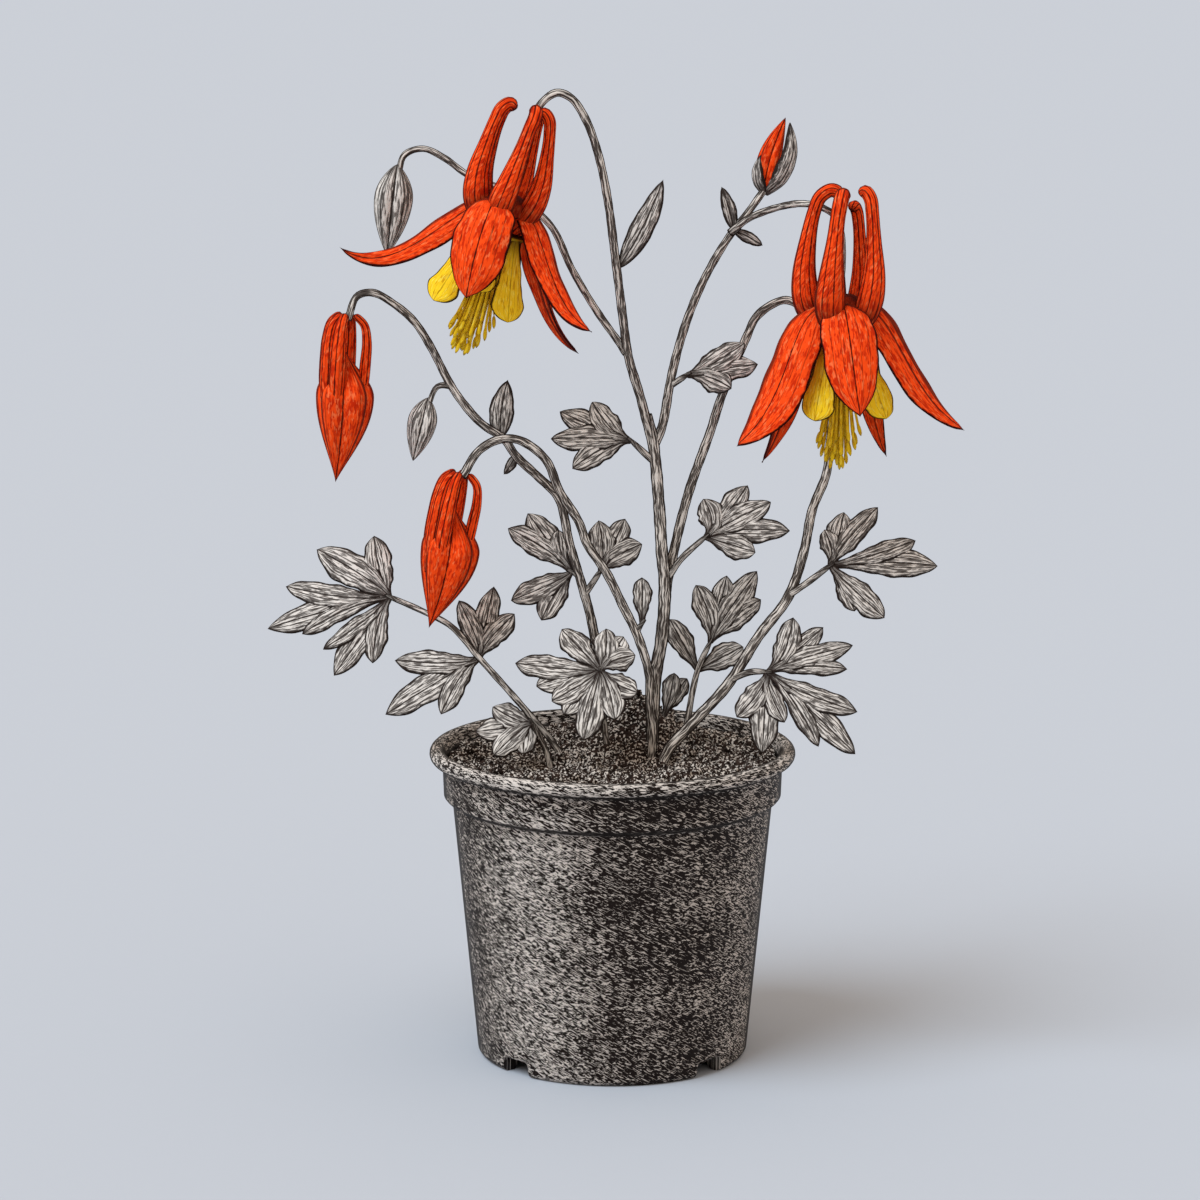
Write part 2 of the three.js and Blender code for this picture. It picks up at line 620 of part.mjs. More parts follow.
// An upright arch, pushed through the bottom edge at an angle round the pot.
function notchCutter(angle) {
  const [half, top, round] = [NOTCH.width / 2, NOTCH.height, NOTCH.cornerRadius];
  const arch = new THREE.Shape();
  arch.moveTo(-half, -NOTCH.below);
  arch.lineTo(half, -NOTCH.below);
  arch.lineTo(half, top - round);
  arch.quadraticCurveTo(half, top, half - round, top);
  arch.lineTo(round - half, top);
  arch.quadraticCurveTo(-half, top, -half, top - round);
  const depth = NOTCH.to - NOTCH.from;
  const cutter = new THREE.ExtrudeGeometry(arch, { depth, bevelEnabled: false, curveSegments: 3 });
  cutter.translate(0, 0, NOTCH.from);
  cutter.rotateX(90 * DEG);
  cutter.rotateZ((angle + 180) * DEG);
  return cutter;
}

// Height of the soil: a mound round the stems with lumps on it.
function soilHeight(x, y) {
  const reach = Math.hypot(x - SOIL.mound[0], y - SOIL.mound[1]) / SOIL.moundSpread;
  const mound = SOIL.moundHeight * Math.exp(-(reach ** 2));
  const { alongX, alongY, aslant, aslantShare } = LUMPS;
  const crossing = Math.sin(alongX[0] * x + alongX[1]) * Math.cos(alongY[0] * y + alongY[1]);
  const slanting = aslantShare * Math.sin(aslant[0] * x + aslant[1] * y + aslant[2]);
  return SOIL.edgeZ + mound + SOIL.lump * (crossing + slanting);
}

function soilSolid() {
  // The rings run from round the mound's top to round the pot's axis.
  const ring = (radius, heightAt, off = 0) => Array.from({ length: SOIL.sides }, (_, i) => {
    const angle = (2 * Math.PI * i) / SOIL.sides;
    const x = off * SOIL.mound[0] + radius * Math.cos(angle);
    const y = off * SOIL.mound[1] + radius * Math.sin(angle);
    return new THREE.Vector3(x, y, heightAt(x, y));
  });
  const wall = INNER_WALL.map(([r, z]) => [r - GAP, z]);
  wall[0][1] += GAP;
  const edge = wall.pop();
  const rows = [
    [vec([...SOIL.mound, soilHeight(...SOIL.mound)])],
    ...SOIL_RINGS.map((radius) => ring(radius, soilHeight, 1 - radius / POT.shoulderRadius)),
    ring(edge[0] - GAP, soilHeight),
    ...wall.reverse().map(([radius, z]) => ring(radius, () => z)),
    [vec([0, 0, FLOOR_TOP + GAP])],
  ];
  return solidOf(loft(rows));
}

// ------------------------ leaves

// The widest place of a lobe, as a share of its length times its half angle.
const WIDEST = 1 / (1 + LEAFLET.tipPower);
const WIDEST_SHARE = WIDEST * (1 - WIDEST) ** LEAFLET.tipPower;

// The outline of a leaflet about its fork, as lobes and the wedge that runs back to the joint.
function leafletOutline({ lobes, fork = LEAFLET.fork, width = LEAFLET.width }) {
  const tips = lobes.map(([heading, length]) => (
    [length * Math.cos(heading * DEG), length * Math.sin(heading * DEG)]));
  const mean = [0, 1].map((axis) => (fork * tips.reduce((sum, tip) => sum + tip[axis], 0)) / tips.length);
  const wedge = LEAFLET.wedge * width;
  const back = { angle: Math.atan2(-mean[1], -mean[0]), length: Math.hypot(...mean), half: wedge };
  const fingers = tips.map(([a, b], i) => {
    const length = Math.hypot(a - mean[0], b - mean[1]);
    const half = (lobes[i][2] ?? width) / 2 / (WIDEST_SHARE * length);
    return { angle: Math.atan2(b - mean[1], a - mean[0]), length, half };
  });
  const away = (from, to) => Math.abs(Math.atan2(Math.sin(to - from), Math.cos(to - from)));
  // Distance from the fork to the edge at an angle, and how far across its lobe that is, 0 at the midrib.
  const edgeAt = (angle) => {
    const off = Math.min(away(angle, back.angle), Math.PI / 2);
    let edge = {
      reach: (back.length * back.half) / (back.half * Math.cos(off) + back.length * Math.sin(off)),
      across: off / (Math.PI / 2),
    };
    for (const finger of fingers) {
      const across = away(angle, finger.angle) / finger.half;
      const reach = across < 1 ? finger.length * (1 - across) ** LEAFLET.tipPower : 0;
      if (reach > edge.reach) edge = { reach, across };
    }
    return edge;
  };
  return { centre: mean, back, fingers, edgeAt };
}

// The angles that a coarse outline needs: the joint, each tip, each hollow between tips, and the flanks' stops.
function outlineAngles({ back, fingers, edgeAt }) {
  const full = 2 * Math.PI;
  const turnOf = ({ angle }) => (angle - back.angle) - full * Math.floor((angle - back.angle) / full);
  const lobes = fingers.map((finger) => ({ turn: turnOf(finger), half: finger.half }));
  lobes.sort((a, b) => a.turn - b.turn);
  const reach = (turn) => edgeAt(back.angle + turn).reach;
  const hollowAfter = (lobe, next) => {
    const stops = OUTLINE.hollowStops;
    const turns = Array.from({ length: stops }, (_, k) => lerp(lobe.turn, next.turn, k / stops));
    return turns.reduce((low, turn) => (reach(turn) < reach(low) ? turn : low));
  };
  const limits = [
    lobes[0].turn - OUTLINE.edge * lobes[0].half,
    ...lobes.slice(1).map((lobe, i) => hollowAfter(lobes[i], lobe)),
    lobes[lobes.length - 1].turn + OUTLINE.edge * lobes[lobes.length - 1].half,
  ];
  const turns = [0, limits[0]];
  lobes.forEach(({ turn }, i) => {
    const [before, after] = [limits[i], limits[i + 1]];
    turns.push(...OUTLINE.flank.map((share) => lerp(turn, before, share)).reverse(), turn);
    turns.push(...OUTLINE.flank.map((share) => lerp(turn, after, share)), after);
  });
  return turns.map((turn) => back.angle + turn);
}

// A leaflet's blade: it droops away from the joint, and each lobe's edges curl back from its midrib.
function leafletSolid(leaflet, lean) {
  const joint = vec(leaflet.joint);
  const up = new THREE.Vector3(0, Math.sin(lean * DEG), Math.cos(lean * DEG));
  const face = new THREE.Vector3(0, -Math.cos(lean * DEG), Math.sin(lean * DEG));
  const outline = leafletOutline(leaflet);
  const place = (a, b, lift) => joint.clone()
    .add(new THREE.Vector3(a, 0, 0))
    .addScaledVector(up, b)
    .addScaledVector(face, lift - LEAFLET.droop * (a * a + b * b));
  const ring = (lift) => outlineAngles(outline).map((angle) => {
    const { reach, across } = outline.edgeAt(angle);
    const [a, b] = [outline.centre[0] + reach * Math.cos(angle), outline.centre[1] + reach * Math.sin(angle)];
    return place(a, b, lift - LEAFLET.cup * reach * across ** 2);
  });
  const half = BLADE / 2;
  const rows = [[place(...outline.centre, half)], ring(half), ring(-half), [place(...outline.centre, -half)]];
  return solidOf(loft(rows, (row) => row > 1));
}

function leafSolid({ lean, petioles, leaflets }) {
  const blades = leaflets.map((leaflet) => leafletSolid(leaflet, lean));
  return fuse([...petioles.map((route) => petioleSolid(route)), ...blades]);
}

// A leaf's stalk. It runs a little past the joint, into the blades.
function petioleSolid(route, grow = 0) {
  const [before, joint] = route.slice(-2).map(vec);
  const past = joint.clone().add(joint.clone().sub(before).setLength(PETIOLE.past));
  return stalk({ route: [...route, past.toArray()], radius: PETIOLE.radius }, grow);
}

// ------------------------ flowers and buds

// The point of a flower at a distance from its axis, an azimuth and a height along the axis.
function flowerFrame({ centre, tilt }) {
  const axis = new THREE.Vector3(Math.sin(tilt * DEG), 0, Math.cos(tilt * DEG));
  const right = new THREE.Vector3(Math.cos(tilt * DEG), 0, -Math.sin(tilt * DEG));
  const back = new THREE.Vector3(0, 1, 0);
  const outward = (azimuth) => right.clone().multiplyScalar(Math.sin(azimuth * DEG))
    .addScaledVector(back, -Math.cos(azimuth * DEG));
  const at = (distance, azimuth, height) => vec(centre)
    .addScaledVector(outward(azimuth), distance)
    .addScaledVector(axis, height);
  return { axis, outward, at };
}

// A solid of revolution about a flower's axis, from stops of [radius, height]. Its ends close on the axis.
function turnedSolid(frame, stops) {
  const rows = stops.map(([radius, height]) => Array.from({ length: ROUND_SIDES }, (_, i) => (
    frame.at(radius, (360 * i) / ROUND_SIDES, height))));
  const ends = [stops[0], stops[stops.length - 1]].map(([, height]) => [frame.at(0, 0, height)]);
  return solidOf(loft([ends[0], ...rows, ends[1]]));
}

function sepalSolid(frame, sepal, grow) {
  const { turn, roll, handles, tip, width, taper, rise = SEPAL.rise, swell = SEPAL.swell } = sepal;
  const stops = [SEPAL.root, ...handles, tip].map(([distance, height], i) => (
    frame.at(distance, lerp(turn[0], turn[1], i / 3), height)));
  const facing = frame.outward(lerp(turn[0], turn[1], 0.5) + roll).addScaledVector(frame.axis, SEPAL.lift);
  const halfWidth = (t) => {
    const shape = swell * t ** rise * (1 - t) ** taper;
    return (width * SEPAL.share * shape) / (1 + shape ** SEPAL.ease) ** (1 / SEPAL.ease) + SEPAL.edge;
  };
  return solidOf(strap(new THREE.CubicBezierCurve3(...stops), halfWidth, facing, { cup: SEPAL.cup, grow }));
}

// A spur. Only what stands above the receptacle is stretched and hooked.
function spurSolid(frame, [mouth, knob, stretch, hook, girth], ringRadius, grow) {
  const line = SPUR.line.map(([inward, height], i) => {
    const azimuth = lerp(mouth, knob, i / (SPUR.line.length - 1));
    const [comesIn, rises] = height > 0 ? [hook * inward, stretch * height] : [inward, height];
    return frame.at(ringRadius - comesIn, azimuth, rises).toArray();
  });
  const radiusAt = (t) => girth * alongStops(SPUR.radii, t);
  return solidOf(bar(smoothCurve(line), radiusAt, { step: 12, bend: 34 * DEG, grow }));
}

function flowerRed(flower, grow = 0) {
  const frame = flowerFrame(flower);
  const [top, bottom] = [RECEPTACLE[0][1], RECEPTACLE[RECEPTACLE.length - 1][1]];
  const seat = turnedSolid(frame, RECEPTACLE.map(([radius, height]) => {
    const overrun = height === top ? grow : height === bottom ? -grow : 0;
    return [radius + grow, height + overrun];
  }));
  const spurs = flower.spurs.map((spur) => spurSolid(frame, spur, flower.spurRadius, grow));
  return fuse([seat, ...spurs, ...flower.sepals.map((sepal) => sepalSolid(frame, sepal, grow))]);
}

function petalBladeSolid(frame, [azimuth, faces, spread, share], wholeLength) {
  const { startRadius, clawWidth, width, fullAt, roundFrom, roundOver, handles } = PETAL_BLADE;
  const length = share * wholeLength;
  const line = [[0, 0], ...handles, [1, 1]];
  const stops = line.map(([down, out]) => (
    frame.at(lerp(startRadius, spread, out), azimuth, THROAT.z - length * down)));
  const roundAt = (t) => Math.sqrt(1 - Math.max(0, (t - roundFrom) / roundOver) ** 2);
  const halfWidth = (t) => (lerp(clawWidth, width, Math.min(1, t / fullAt)) / 2) * roundAt(t);
  return solidOf(strap(new THREE.CubicBezierCurve3(...stops), halfWidth, frame.outward(faces), { rows: 5 }));
}

function stamenSolid(frame, i, length, sway) {
  const share = Math.sqrt((i + 0.5) / STAMENS.count);
  const reach = length * lerp(1, STAMENS.shortest, share ** 2);
  const spread = STAMENS.spread * share;
  const [bendDown, bendOut] = STAMENS.bend;
  const stops = [[share, STAMENS.top], [spread * bendOut + 1, -reach * bendDown], [spread, -reach]];
  const line = stops.map(([distance, height]) => {
    const swing = new THREE.Vector3(sway * (height / length) ** 2, 0, 0);
    return frame.at(distance, i * STAMENS.turn, height).add(swing).toArray();
  });
  const radius = (t) => (t < STAMENS.antherShare ? STAMENS.filament : STAMENS.anther);
  return solidOf(bar(smoothCurve(line), radius, { sides: 4, step: 14 }));
}

function flowerYellow(flower) {
  const frame = flowerFrame(flower);
  const throat = [
    [THROAT.radius - 1, THROAT.z + THROAT.thickness / 2],
    [THROAT.radius, THROAT.z],
    [THROAT.radius - 1, THROAT.z - THROAT.thickness / 2],
    [COLUMN.radius, COLUMN.top],
    [COLUMN.radius - 1, COLUMN.end],
  ];
  const bladeLength = flower.bladeLength - BLADE_INSIDE;
  const blades = flower.blades.map((blade) => petalBladeSolid(frame, blade, bladeLength));
  const stamens = Array.from({ length: STAMENS.count }, (_, i) => (
    stamenSolid(frame, i, flower.stamenLength, flower.sway)));
  return fuse([turnedSolid(frame, throat), ...blades, ...stamens]);
}

// Girth of a bud along its length, 0 at both ends and 1 at its widest.
function budGirth(t, { widest, fallPower, risePower } = GIRTH) {
  if (t < widest) return Math.sin((90 * DEG * t) / widest) ** risePower;
  return Math.cos((90 * DEG * (t - widest)) / (1 - widest)) ** fallPower;
}

// A ridged spindle from top to tip. girthAt gives its radius along the length. bow pushes its middle along X.
function spindle(top, tip, girthAt, { sides = 10, rows = 6, ridge = 0.1, bow = 0 } = {}) {
  const axis = tip.clone().sub(top).normalize();
  const side = new THREE.Vector3(0, 1, 0);
  const across = new THREE.Vector3().crossVectors(side, axis).normalize();
  const centreAt = (t) => top.clone().lerp(tip, t).add(new THREE.Vector3(bow * Math.sin(Math.PI * t), 0, 0));
  const loops = Array.from({ length: rows }, (_, k) => {
    const t = lerp(SPINDLE.firstRow, SPINDLE.lastRow, k / (rows - 1));
    return Array.from({ length: sides }, (_unused, i) => {
      const angle = (2 * Math.PI * i) / sides;
      const radius = girthAt(t) * (1 + ridge * Math.cos(RIDGES * angle));
      return centreAt(t)
        .addScaledVector(side, radius * Math.cos(angle))
        .addScaledVector(across, radius * Math.sin(angle));
    });
  });
  return solidOf(loft([[centreAt(0)], ...loops, [centreAt(1)]]));
}

function closedFlowerSolid({ top, tip, radius, bow }) {
  const [start, end] = [vec(top), vec(tip)];
  const length = start.distanceTo(end);
  const tilt = Math.atan2(start.x - end.x, start.z - end.z) / DEG;
  const frame = flowerFrame({ centre: top, tilt });
  const { sides, ridge } = CLOSED_BODY;
  const bodyStart = start.clone().lerp(end, CLOSED_BODY.start / length);
  const body = spindle(bodyStart, end, (t) => radius * budGirth(t, CLOSED_BODY), { sides, ridge, bow });
  const spurs = CLOSED_SPUR.places.map(([azimuth, girth]) => {
    const line = CLOSED_SPUR.line.map(([distance, below]) => frame.at(distance, azimuth, -below).toArray());
    const radiusAt = (t) => girth * alongStops(CLOSED_SPUR.radii, t);
    return solidOf(bar(smoothCurve(line), radiusAt, { step: 9, bend: 32 * DEG }));
  });
  return fuse([body, ...spurs]);
}

// ------------------------ stems

function bractSolid({ foot, tip, width, bow }, grow = 0) {
  const [a, b] = [vec(foot), vec(tip)];
  const middle = a.clone().lerp(b, 0.5).add(new THREE.Vector3(bow, -1, 0));
  const curve = new THREE.QuadraticBezierCurve3(a, middle, b);
  const shape = (t) => Math.min(1, BRACT.swell * t ** BRACT.rise * (1 - t) ** BRACT.taper);
  const halfWidth = (t) => (width / 2) * shape(t) + BRACT.edge;
  return solidOf(strap(curve, halfWidth, vec(BRACT_FACING), { rows: 5, cup: BRACT.cup, grow }));
}

function topSepalSolid({ route, facing, width }, grow = 0) {
  const { from, to, edge, cup } = TOP_SEPAL;
  const halfWidth = (t) => (width / 2) * Math.sin(Math.PI * lerp(from, to, t)) + edge;
  return solidOf(strap(smoothCurve(route), halfWidth, vec(facing), { cup, grow }));
}

const MAIN_STALKS = [LEFT_FLOWER_STALK, LEFT_BUD_STALK, TOP_STALK, RIGHT_FLOWER_STALK, BACK_STALK];
const STEMS = {
  main: (grow) => fuse([
    stalk(TRUNK, grow, 7),
    ...MAIN_STALKS.map((route) => stalk(route, grow)),
    ...MAIN_BRACTS.map((bract) => bractSolid(bract, grow)),
    ...TOP_SEPALS.map((sepal) => topSepalSolid(sepal, grow)),
  ]),
  right: (grow) => stalk(RIGHT_STEM, grow, 6),
  inner: (grow) => stalk(INNER_LEFT_STEM, grow, 6),
  outer: (grow) => fuse([
    stalk(OUTER_LEFT_STEM, grow, 6),
    stalk(LOW_BUD_STALK, grow),
    ...LEFT_BRACTS.map((bract) => bractSolid(bract, grow)),
  ]),
};
const STEM_NODES = {
  main: 'stem_main',
  right: 'stem_right',
  inner: 'stem_left_inner',
  outer: 'stem_left_outer',
};
const stemRoom = Object.fromEntries(Object.entries(STEMS).map(([key, build]) => [key, build(GAP)]));

// ------------------------ the plant

const finish = (color, roughness) => new THREE.MeshStandardMaterial({ color, roughness, metalness: 0 });
const FINISHES = {
  pot: () => finish(0x2f2926, 0.5),
  soil: () => finish(0x261d18, 1),
  stem: () => finish(0x857a70, 0.8),
  leaf: () => finish(0xb3aca3, 0.8),
  red: () => finish(0xee3d16, 0.55),
  yellow: () => finish(0xd8a41c, 0.6),
};

const plant = new THREE.Group();
plant.name = 'columbine_plant';
const addNode = (name, solid, finishName) => plant.add(meshOf(name, solid, FINISHES[finishName]()));

addNode('pot', potSolid(), 'pot');

const basalRoom = Object.values(LEAVES).filter((leaf) => !leaf.on)
  .flatMap(({ petioles }) => petioles.map((route) => petioleSolid(route, GAP)));
const rooms = [...Object.values(stemRoom), ...basalRoom];
addNode('soil', rooms.reduce((soil, room) => soil.subtract(room), soilSolid()), 'soil');

for (const [key, build] of Object.entries(STEMS)) addNode(STEM_NODES[key], build(0), 'stem');

for (const [name, leaf] of Object.entries(LEAVES)) {
  const whole = leafSolid(leaf);
  addNode(name, leaf.on ? whole.subtract(stemRoom[leaf.on]) : whole, 'leaf');
}

for (const [side, flower] of [['left', LEFT_FLOWER], ['right', RIGHT_FLOWER]]) {
  addNode(`flower_${side}_sepals_and_spurs`, flowerRed(flower).subtract(stemRoom.main), 'red');
  const yellow = flowerYellow(flower).subtract(flowerRed(flower, GAP));
  addNode(`flower_${side}_blades_and_stamens`, yellow, 'yellow');
}
for (const [name, bud] of Object.entries(CLOSED_FLOWERS)) {
  addNode(name, closedFlowerSolid(bud).subtract(stemRoom[bud.on]), 'red');
}
for (const [name, bud] of Object.entries(YOUNG_BUDS)) {
  const body = spindle(vec(bud.top), vec(bud.tip), (t) => bud.radius * budGirth(t));
  addNode(name, body.subtract(stemRoom[bud.on]), 'leaf');
}
const { top, tip, radius, bow } = TOP_BUD;
const topBud = spindle(vec(top), vec(tip), (t) => radius * budGirth(t), { bow });
addNode('bud_red_top', topBud.subtract(stemRoom.main), 'red');

export default plant;
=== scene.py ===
"""A columbine in a round nursery pot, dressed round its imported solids.

Shapes are worked out in millimetres in the part's own frame: +Z is up, the plant's front faces -Y and +X is
its right. Each sub-assembly is a class that holds its sizes and builds its meshes, and each finish is a
small frozen class.
"""

import logging
import math
from abc import ABC, abstractmethod
from collections.abc import Callable, Mapping, Sequence
from dataclasses import dataclass, field
from enum import Enum
from functools import partial, reduce

import bpy
import numpy as np
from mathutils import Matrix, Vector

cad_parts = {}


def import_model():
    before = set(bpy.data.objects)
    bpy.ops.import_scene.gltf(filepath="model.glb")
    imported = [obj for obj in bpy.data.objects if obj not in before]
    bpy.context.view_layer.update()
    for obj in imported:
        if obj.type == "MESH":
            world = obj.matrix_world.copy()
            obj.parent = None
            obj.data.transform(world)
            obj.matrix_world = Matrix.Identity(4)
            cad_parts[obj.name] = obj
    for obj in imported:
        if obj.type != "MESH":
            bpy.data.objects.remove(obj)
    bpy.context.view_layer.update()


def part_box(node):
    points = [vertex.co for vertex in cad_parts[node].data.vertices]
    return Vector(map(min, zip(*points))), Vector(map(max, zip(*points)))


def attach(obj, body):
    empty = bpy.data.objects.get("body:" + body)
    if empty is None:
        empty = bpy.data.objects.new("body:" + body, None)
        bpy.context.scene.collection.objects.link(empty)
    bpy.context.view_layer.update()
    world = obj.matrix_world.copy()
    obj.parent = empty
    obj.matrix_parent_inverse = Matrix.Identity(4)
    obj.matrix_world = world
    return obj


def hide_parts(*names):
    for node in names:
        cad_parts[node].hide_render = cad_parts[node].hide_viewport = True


LOG = logging.getLogger("columbine")

Array = np.ndarray
Point = tuple[float, float, float]
Route = Sequence[Point]
Colour = tuple[float, float, float, float]
Socket = bpy.types.NodeSocket
Tree = bpy.types.NodeTree
Feed = object  # a socket to link, or a plain value to set

MM = 0.001  # metres in a millimetre
FAR = 99.0  # a distance that stands for "no line near here", in millimetres
LATTICE = 97  # corners along one side of the noise's table of heights
FINE_STOPS = 121  # places at which a row of stops is read before it is eased
EASED_OVER = 15  # places that the running mean covers
X_AXIS = np.array([1.0, 0.0, 0.0])
Y_AXIS = np.array([0.0, 1.0, 0.0])
Z_AXIS = np.array([0.0, 0.0, 1.0])


class Slot(Enum):
    """Material slots, by name."""

    POT = "pot"
    SOIL = "soil"
    STEM = "stem"
    LEAF = "leaf"
    SEPAL = "sepal_red"
    PETAL = "petal_yellow"


class Trait(Enum):
    """What a face corner knows of its place in the tissue, as columns of an array."""

    ACROSS = 0  # millimetres across the grain
    ALONG = 1  # millimetres along the grain
    CHANCE = 2  # a random share of its own for each blade
    RIM = 3  # millimetres from the rim
    LINE = 4  # millimetres from the nearest main vein or groove
    SIDE = 5  # a coordinate that side veins repeat along
    SHADE = 6  # share of darkening
    AXIS_X = 7  # direction of a bar's axis
    AXIS_Y = 8
    AXIS_Z = 9


# ------------------------------------------ small arithmetic


def unit(vectors: Array) -> Array:
    """Each vector divided by its length."""
    return vectors / np.maximum(np.linalg.norm(vectors, axis=-1, keepdims=True), 1e-12)


def smooth(low: float, high: float, value: Array) -> Array:
    """The smooth step: 0 up to low, 1 from high, and 3t squared less 2t cubed between them."""
    t = np.clip((value - low) / (high - low), 0.0, 1.0)
    return t * t * (3.0 - 2.0 * t)


def bell(distance: Array, width: float) -> Array:
    """The bell curve: e to the power of minus the squared share distance over width."""
    return np.exp(-((distance / width) ** 2))


def turn_between(a: Array, b: Array) -> Array:
    """The turn from b to a in radians, between minus and plus half a circle."""
    return np.angle(np.exp(1j * (np.asarray(a) - np.asarray(b))))


def linear(code: int) -> Colour:
    """A linear colour from a six-digit code in the usual display encoding.

    Args:
        code: red, green and blue as two hexadecimal digits each.

    Returns:
        The colour with full cover.
    """
    parts = np.array([(code >> shift & 255) / 255.0 for shift in (16, 8, 0)])
    parts = np.where(parts <= 0.04045, parts / 12.92, ((parts + 0.055) / 1.055) ** 2.4)
    return (*parts.tolist(), 1.0)


def run_along(points: Array) -> Array:
    """Distance of each point from the first one, along the polyline."""
    return np.concatenate([[0.0], np.cumsum(np.linalg.norm(np.diff(points, axis=0), axis=1))])


def rounded_end(left: Array, reach: float) -> Array:
    """Share of its radius that a bar has near its end: a quarter circle over the last stretch."""
    return np.sqrt(np.maximum(1 - (1 - np.minimum(left / reach, 1)) ** 2, 1e-4))


def lattice_noise(x: Array, y: Array, cell: float, seed: int) -> Array:
    """Smooth value noise between -1 and 1.

    The plane is a lattice of square cells with a seeded random height at each corner, and a point takes the
    mix of its cell's four corners, weighted by the smooth step of its place in the cell.

    Args:
        x, y: places in millimetres.
        cell: side of a cell in millimetres.
        seed: seed of the random heights.

    Returns:
        The height at each place.
    """
    table = np.random.default_rng(seed).uniform(-1.0, 1.0, (LATTICE, LATTICE))
    u, v = x / cell + LATTICE // 2, y / cell + LATTICE // 2
    i, j = np.floor(u).astype(int), np.floor(v).astype(int)
    s, t = smooth(0.0, 1.0, u - i), smooth(0.0, 1.0, v - j)
    near, right, above, across = (
        table[(i + a) % LATTICE, (j + b) % LATTICE] for a, b in ((0, 0), (1, 0), (0, 1), (1, 1))
    )
    return (1 - t) * ((1 - s) * near + s * right) + t * ((1 - s) * above + s * across)


# ---------------------------------------------------- curves


def smooth_curve(route: Route, samples: int = 28) -> Array:
    """Points on the centripetal Catmull-Rom curve through a route.

    Between two stops the curve is the cubic with both stops as its ends. Its slope at a stop is the mean of
    the slopes to the neighbours, weighted by time, where the time between two stops is the square root of
    their distance.

    Args:
        route: the stops in millimetres.
        samples: points for each stretch between two stops.

    Returns:
        The points, from the first stop to the last.
    """
    stops = np.asarray(route, float)
    padded = np.vstack([2 * stops[0] - stops[1], stops, 2 * stops[-1] - stops[-2]])
    a, b, c, d = padded[:-3], padded[1:-2], padded[2:-1], padded[3:]
    times = np.sqrt(np.linalg.norm(np.diff(padded, axis=0), axis=1))[:, None]
    before, here, after = times[:-2], times[1:-1], times[2:]
    slope_b = ((b - a) / before - (c - a) / (before + here) + (c - b) / here) * here
    slope_c = ((c - b) / here - (d - b) / (here + after) + (d - c) / after) * here
    t = np.linspace(0.0, 1.0, samples, endpoint=False)[None, :, None]
    points = (
        (2 * t**3 - 3 * t**2 + 1) * b[:, None]
        + (t**3 - 2 * t**2 + t) * slope_b[:, None]
        + (3 * t**2 - 2 * t**3) * c[:, None]
        + (t**3 - t**2) * slope_c[:, None]
    )
    return np.vstack([points.reshape(-1, 3), stops[-1]])


def bezier(stops: Array, t: Array) -> Array:
    """Points of a Bezier curve: each stop weighted by its Bernstein polynomial.

    Args:
        stops: the curve's three or four stops, as rows.
        t: shares of the way along it.

    Returns:
        The point at each share.
    """
    order = len(stops) - 1
    weights = [math.comb(order, k) * t**k * (1 - t) ** (order - k) for k in range(order + 1)]
    return np.stack(weights, axis=1) @ stops


def evenly(points: Array, step: float) -> tuple[Array, Array]:
    """Points at even distances along a polyline.

    Args:
        points: the polyline's points.
        step: wanted distance between two points.

    Returns:
        The new points, and each one's distance from the start.
    """
    run = run_along(points)
    along = np.linspace(0.0, run[-1], max(4, round(run[-1] / step) + 1))
    return np.stack([np.interp(along, run, column) for column in points.T], axis=1), along


def on_stops(values: Sequence[float], share: Array) -> Array:
    """A value read off evenly spaced stops, eased by a short running mean.

    Args:
        values: the value at each stop.
        share: shares of the way along the stops.

    Returns:
        The value at each share.
    """
    places = np.linspace(0, 1, FINE_STOPS)
    fine = np.interp(places, np.linspace(0, 1, len(values)), values)
    padded = np.pad(fine, EASED_OVER // 2, mode="edge")
    return np.interp(share, places, np.convolve(padded, np.ones(EASED_OVER) / EASED_OVER, mode="valid"))


# ----------------------------------------------------- skins


@dataclass
class Patch:
    """Closed surfaces in millimetres: points, faces of four corners (-1 ends a triangle) and each corner's
    traits."""

    points: Array
    faces: Array
    traits: Array

    def outward(self) -> "Patch":
        """The patch with its faces turned outwards.

        The signed volume sums a point's product with the cross product of the next two over each triangle.
        Where it is negative, the order of each face's corners is reversed.

        Returns:
            This patch, or one that is turned round.
        """
        a, b, c = (self.points[self.faces[:, k]] for k in range(3))
        d = self.points[np.where(self.faces[:, 3] < 0, self.faces[:, 2], self.faces[:, 3])]
        volume = np.sum(a * np.cross(b, c)) + np.sum(a * np.cross(c, d))
        if volume >= 0:
            return self
        order = np.where(self.faces[:, 3:] < 0, [[2, 1, 0, 3]], [[3, 2, 1, 0]])
        faces = np.take_along_axis(self.faces, order, axis=1)
        return Patch(self.points, faces, np.take_along_axis(self.traits, order[:, :, None], axis=1))

    @staticmethod
    def join(patches: Sequence["Patch"]) -> "Patch":
        """Several patches as one, with the later ones' corner numbers moved up.

        Args:
            patches: the patches, at least one.

        Returns:
            The one patch.
        """
        starts = np.cumsum([0] + [len(p.points) for p in patches[:-1]])
        faces = [np.where(p.faces < 0, -1, p.faces + start) for p, start in zip(patches, starts)]
        return Patch(
            np.concatenate([p.points for p in patches]),
            np.concatenate(faces),
            np.concatenate([p.traits for p in patches]),
        )


def corner_traits(shape: tuple[int, int], **values: Array | float) -> Array:
    """Traits on a grid of rows and columns, named in small letters; a missing line or rim is FAR and the
    rest 0.

    Args:
        shape: rows and columns, with one column more than the loops have points.
        values: a trait's values, which broadcast to the shape.

    Returns:
        An array of rows, columns and traits.
    """
    traits = np.zeros((*shape, len(Trait)))
    traits[..., [Trait.RIM.value, Trait.LINE.value]] = FAR
    for name, value in values.items():
        traits[..., Trait[name.upper()].value] = value
    return traits


